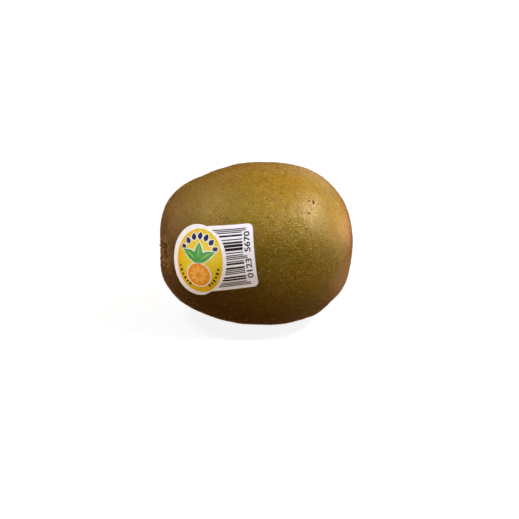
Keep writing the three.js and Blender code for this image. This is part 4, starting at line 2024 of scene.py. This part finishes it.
@dataclass
class Studio:
    """Plain pale floor, soft lights, and the camera."""

    body: FruitBody
    floor_radius: float = 4200.0
    floor_drop: float = 0.01
    # Distances from the fruit between which the floor's glow brightens, and its glow under the fruit, dimmer
    # there as a painted shade round the fruit.
    glow_reach: Pair = (30, 300)
    glow_under_fruit_shaded: float = 0.86
    bounce: str = "#826e50"
    even_light: float = 0.03
    azimuth: float = -14.0
    elevation: float = 18.0
    roll: float = 3.2
    distance: float = 440.4
    aim_right: float = -6.325
    aim_up: float = -5.761
    lens: float = 85.0
    light_distance: float = 620.0
    lights: tuple[SoftLight, ...] = (
        SoftLight("key_light_high", 82.0, 57.0, 420, 0.8, "#fdf6e2"),
        SoftLight("key_light_front", 56.5, 49.0, 95, 3.45, "#e0e8ff"),
        SoftLight("side_light", 66.0, 19.0, 420, 0.84, "#fdf6e2"),
        SoftLight("edge_light", 106.0, 1.0, 300, 2.5, "#ffd4a8"),
        SoftLight("left_light_high", -80.0, 55.0, 160, 1.3, "#f6f8ff"),
        SoftLight("left_light_low", -50.0, 0.0, 300, 2.6, "#fff4e8"),
        SoftLight("left_light_side", -85.0, 4.0, 300, 0.6, "#ffeed8"),
        SoftLight("left_edge_light", -124.0, 8.0, 300, 0.7, "#ffe8d0"),
        SoftLight("top_light", -60.0, 76.0, 360, 0.25, "#fff8dc"),
        SoftLight("back_light", 145.0, 20.0, 360, 0.42, "#ffe8d8"),
        SoftLight("back_fill", 215.0, 45.0, 480, 0.4, "#fff0e0"),
    )

    def sight(self, azimuth: float, elevation: float) -> Points:
        """Direction from the fruit towards an azimuth, seen from above, and an elevation, both in degrees."""
        a, e = math.radians(azimuth), math.radians(elevation)
        return np.array([math.sin(a) * math.cos(e), -math.cos(a) * math.cos(e), math.sin(e)])

    def camera(self) -> None:
        """Stands the camera before the label side, a little above the fruit."""
        back = self.sight(self.azimuth, self.elevation)
        a, turn = math.radians(self.azimuth), math.radians(self.roll)
        level = np.array([math.cos(a), math.sin(a), 0.0])
        rise = np.cross(back, level)
        right = math.cos(turn) * level + math.sin(turn) * rise
        up = -math.sin(turn) * level + math.cos(turn) * rise
        aim = np.array(self.body.middle) + self.aim_right * right + self.aim_up * up
        place = (aim + self.distance * back) * MM
        lens = bpy.data.cameras.new("camera")
        lens.lens = self.lens
        lens.sensor_width = 36.0
        lens.clip_start, lens.clip_end = 0.01, 20.0
        camera = bpy.data.objects.new("camera", lens)
        turned = Matrix([(*row, 0.0) for row in np.stack([right, up, back], axis=1)] + [(0.0, 0.0, 0.0, 1.0)])
        camera.matrix_world = Matrix.Translation(Vector(place)) @ turned
        bpy.context.scene.collection.objects.link(camera)
        bpy.context.scene.camera = camera

    def light(self, box: SoftLight) -> None:
        """Hangs one soft box.

        Args:
            box: Its place, size, power and colour.
        """
        way = self.sight(box.azimuth, box.elevation)
        lamp = bpy.data.lights.new(box.name, "AREA")
        lamp.shape = "DISK"
        lamp.size = box.size * MM
        lamp.energy = box.power
        lamp.color = linear(box.colour)[:3]
        hung = bpy.data.objects.new(box.name, lamp)
        hung.location = (np.array(self.body.middle) + way * self.light_distance) * MM
        hung.rotation_euler = Vector(-way).to_track_quat("-Z", "Y").to_euler()
        bpy.context.scene.collection.objects.link(hung)

    def floor(self) -> None:
        """Lays the pale floor, which runs without a seam into the background."""
        rim = ellipse((0.0, 0.0), (self.floor_radius,) * 2, 128)
        disc = np.column_stack([rim, np.full(len(rim), -self.floor_drop)])
        tree = FinishTree("studio_floor_pale_card")
        nodes, links = tree.tree.nodes, tree.tree.links
        reach = add_node(tree.tree, "ShaderNodeVectorMath", {0: tree.space}, operation="LENGTH")
        # Painted shade: the glow that the camera sees on the floor dims towards the fruit.
        shaded_floor_glow = tree.share(reach.outputs["Value"], *self.glow_reach, self.glow_under_fruit_shaded, 1.0)
        shine = add_node(tree.tree, "ShaderNodeEmission", {"Color": linear("#ffffff"), "Strength": shaded_floor_glow})
        card = add_node(tree.tree, "ShaderNodeBsdfDiffuse", {"Color": linear("#808080")})
        seen = add_node(tree.tree, "ShaderNodeAddShader", {0: shine.outputs[0], 1: card.outputs[0]})
        dark = add_node(tree.tree, "ShaderNodeBsdfDiffuse", {"Color": linear(self.bounce)})
        path = add_node(tree.tree, "ShaderNodeLightPath").outputs["Is Camera Ray"]
        mixed = add_node(tree.tree, "ShaderNodeMixShader", {0: path, 1: dark.outputs[0], 2: seen.outputs[0]})
        nodes.remove(tree.shader)
        links.new(mixed.outputs[0], nodes["Material Output"].inputs[0])
        floor = make_piece("studio_floor", (disc, [tuple(range(len(disc)))]), tree.material)

    def world(self) -> None:
        """Gives the camera a white background, and the fruit a dim even light."""
        world = bpy.data.worlds.new("studio")
        world.use_nodes = True
        tree = world.node_tree
        tree.nodes.clear()
        seen, lit = (
            add_node(tree, "ShaderNodeBackground", {"Color": linear("#ffffff"), "Strength": strength})
            for strength in (1.0, self.even_light)
        )
        path = add_node(tree, "ShaderNodeLightPath").outputs["Is Camera Ray"]
        mixed = add_node(tree, "ShaderNodeMixShader", {0: path, 1: lit.outputs[0], 2: seen.outputs[0]})
        add_node(tree, "ShaderNodeOutputWorld", {0: mixed.outputs[0]})
        bpy.context.scene.world = world

    def build(self) -> None:
        """Sets up the studio."""
        self.floor()
        self.world()
        for box in self.lights:
            self.light(box)
        self.camera()
        bpy.context.scene.view_settings.view_transform = "Standard"


# --- Assembly -------------------------------------------------------------------------------------


def main() -> None:
    """Builds the studio and the fruit's pieces in order."""
    logging.basicConfig(level=logging.INFO, format="%(name)s: %(message)s")
    body = FruitBody()
    Studio(body).build()
    place = LabelPlace(body)
    shape = LabelShape()
    sepals, styles = DriedDraws().draw()
    skin = FruitSkin(body, place, shape).build(KiwiSkin().build())
    StemEnd(body).build(sepals, DriedPlant("sepal_dried", "#8d6f4a", "#4d3620").build())
    BlossomEnd(body).build(styles, DriedPlant("style_dried", "#8a5c34", "#4e2e18").build())
    SkinMarks(body).build(DriedPlant("scab_corky", "#765018", "#432e0a").build())
    Down().build(skin, KiwiDown().build())
    paper = PaperLabel(place, shape)
    paper.build(CoatedPaper().build())
    LabelPrint(paper).build()


if __name__ == "__main__":
    main()
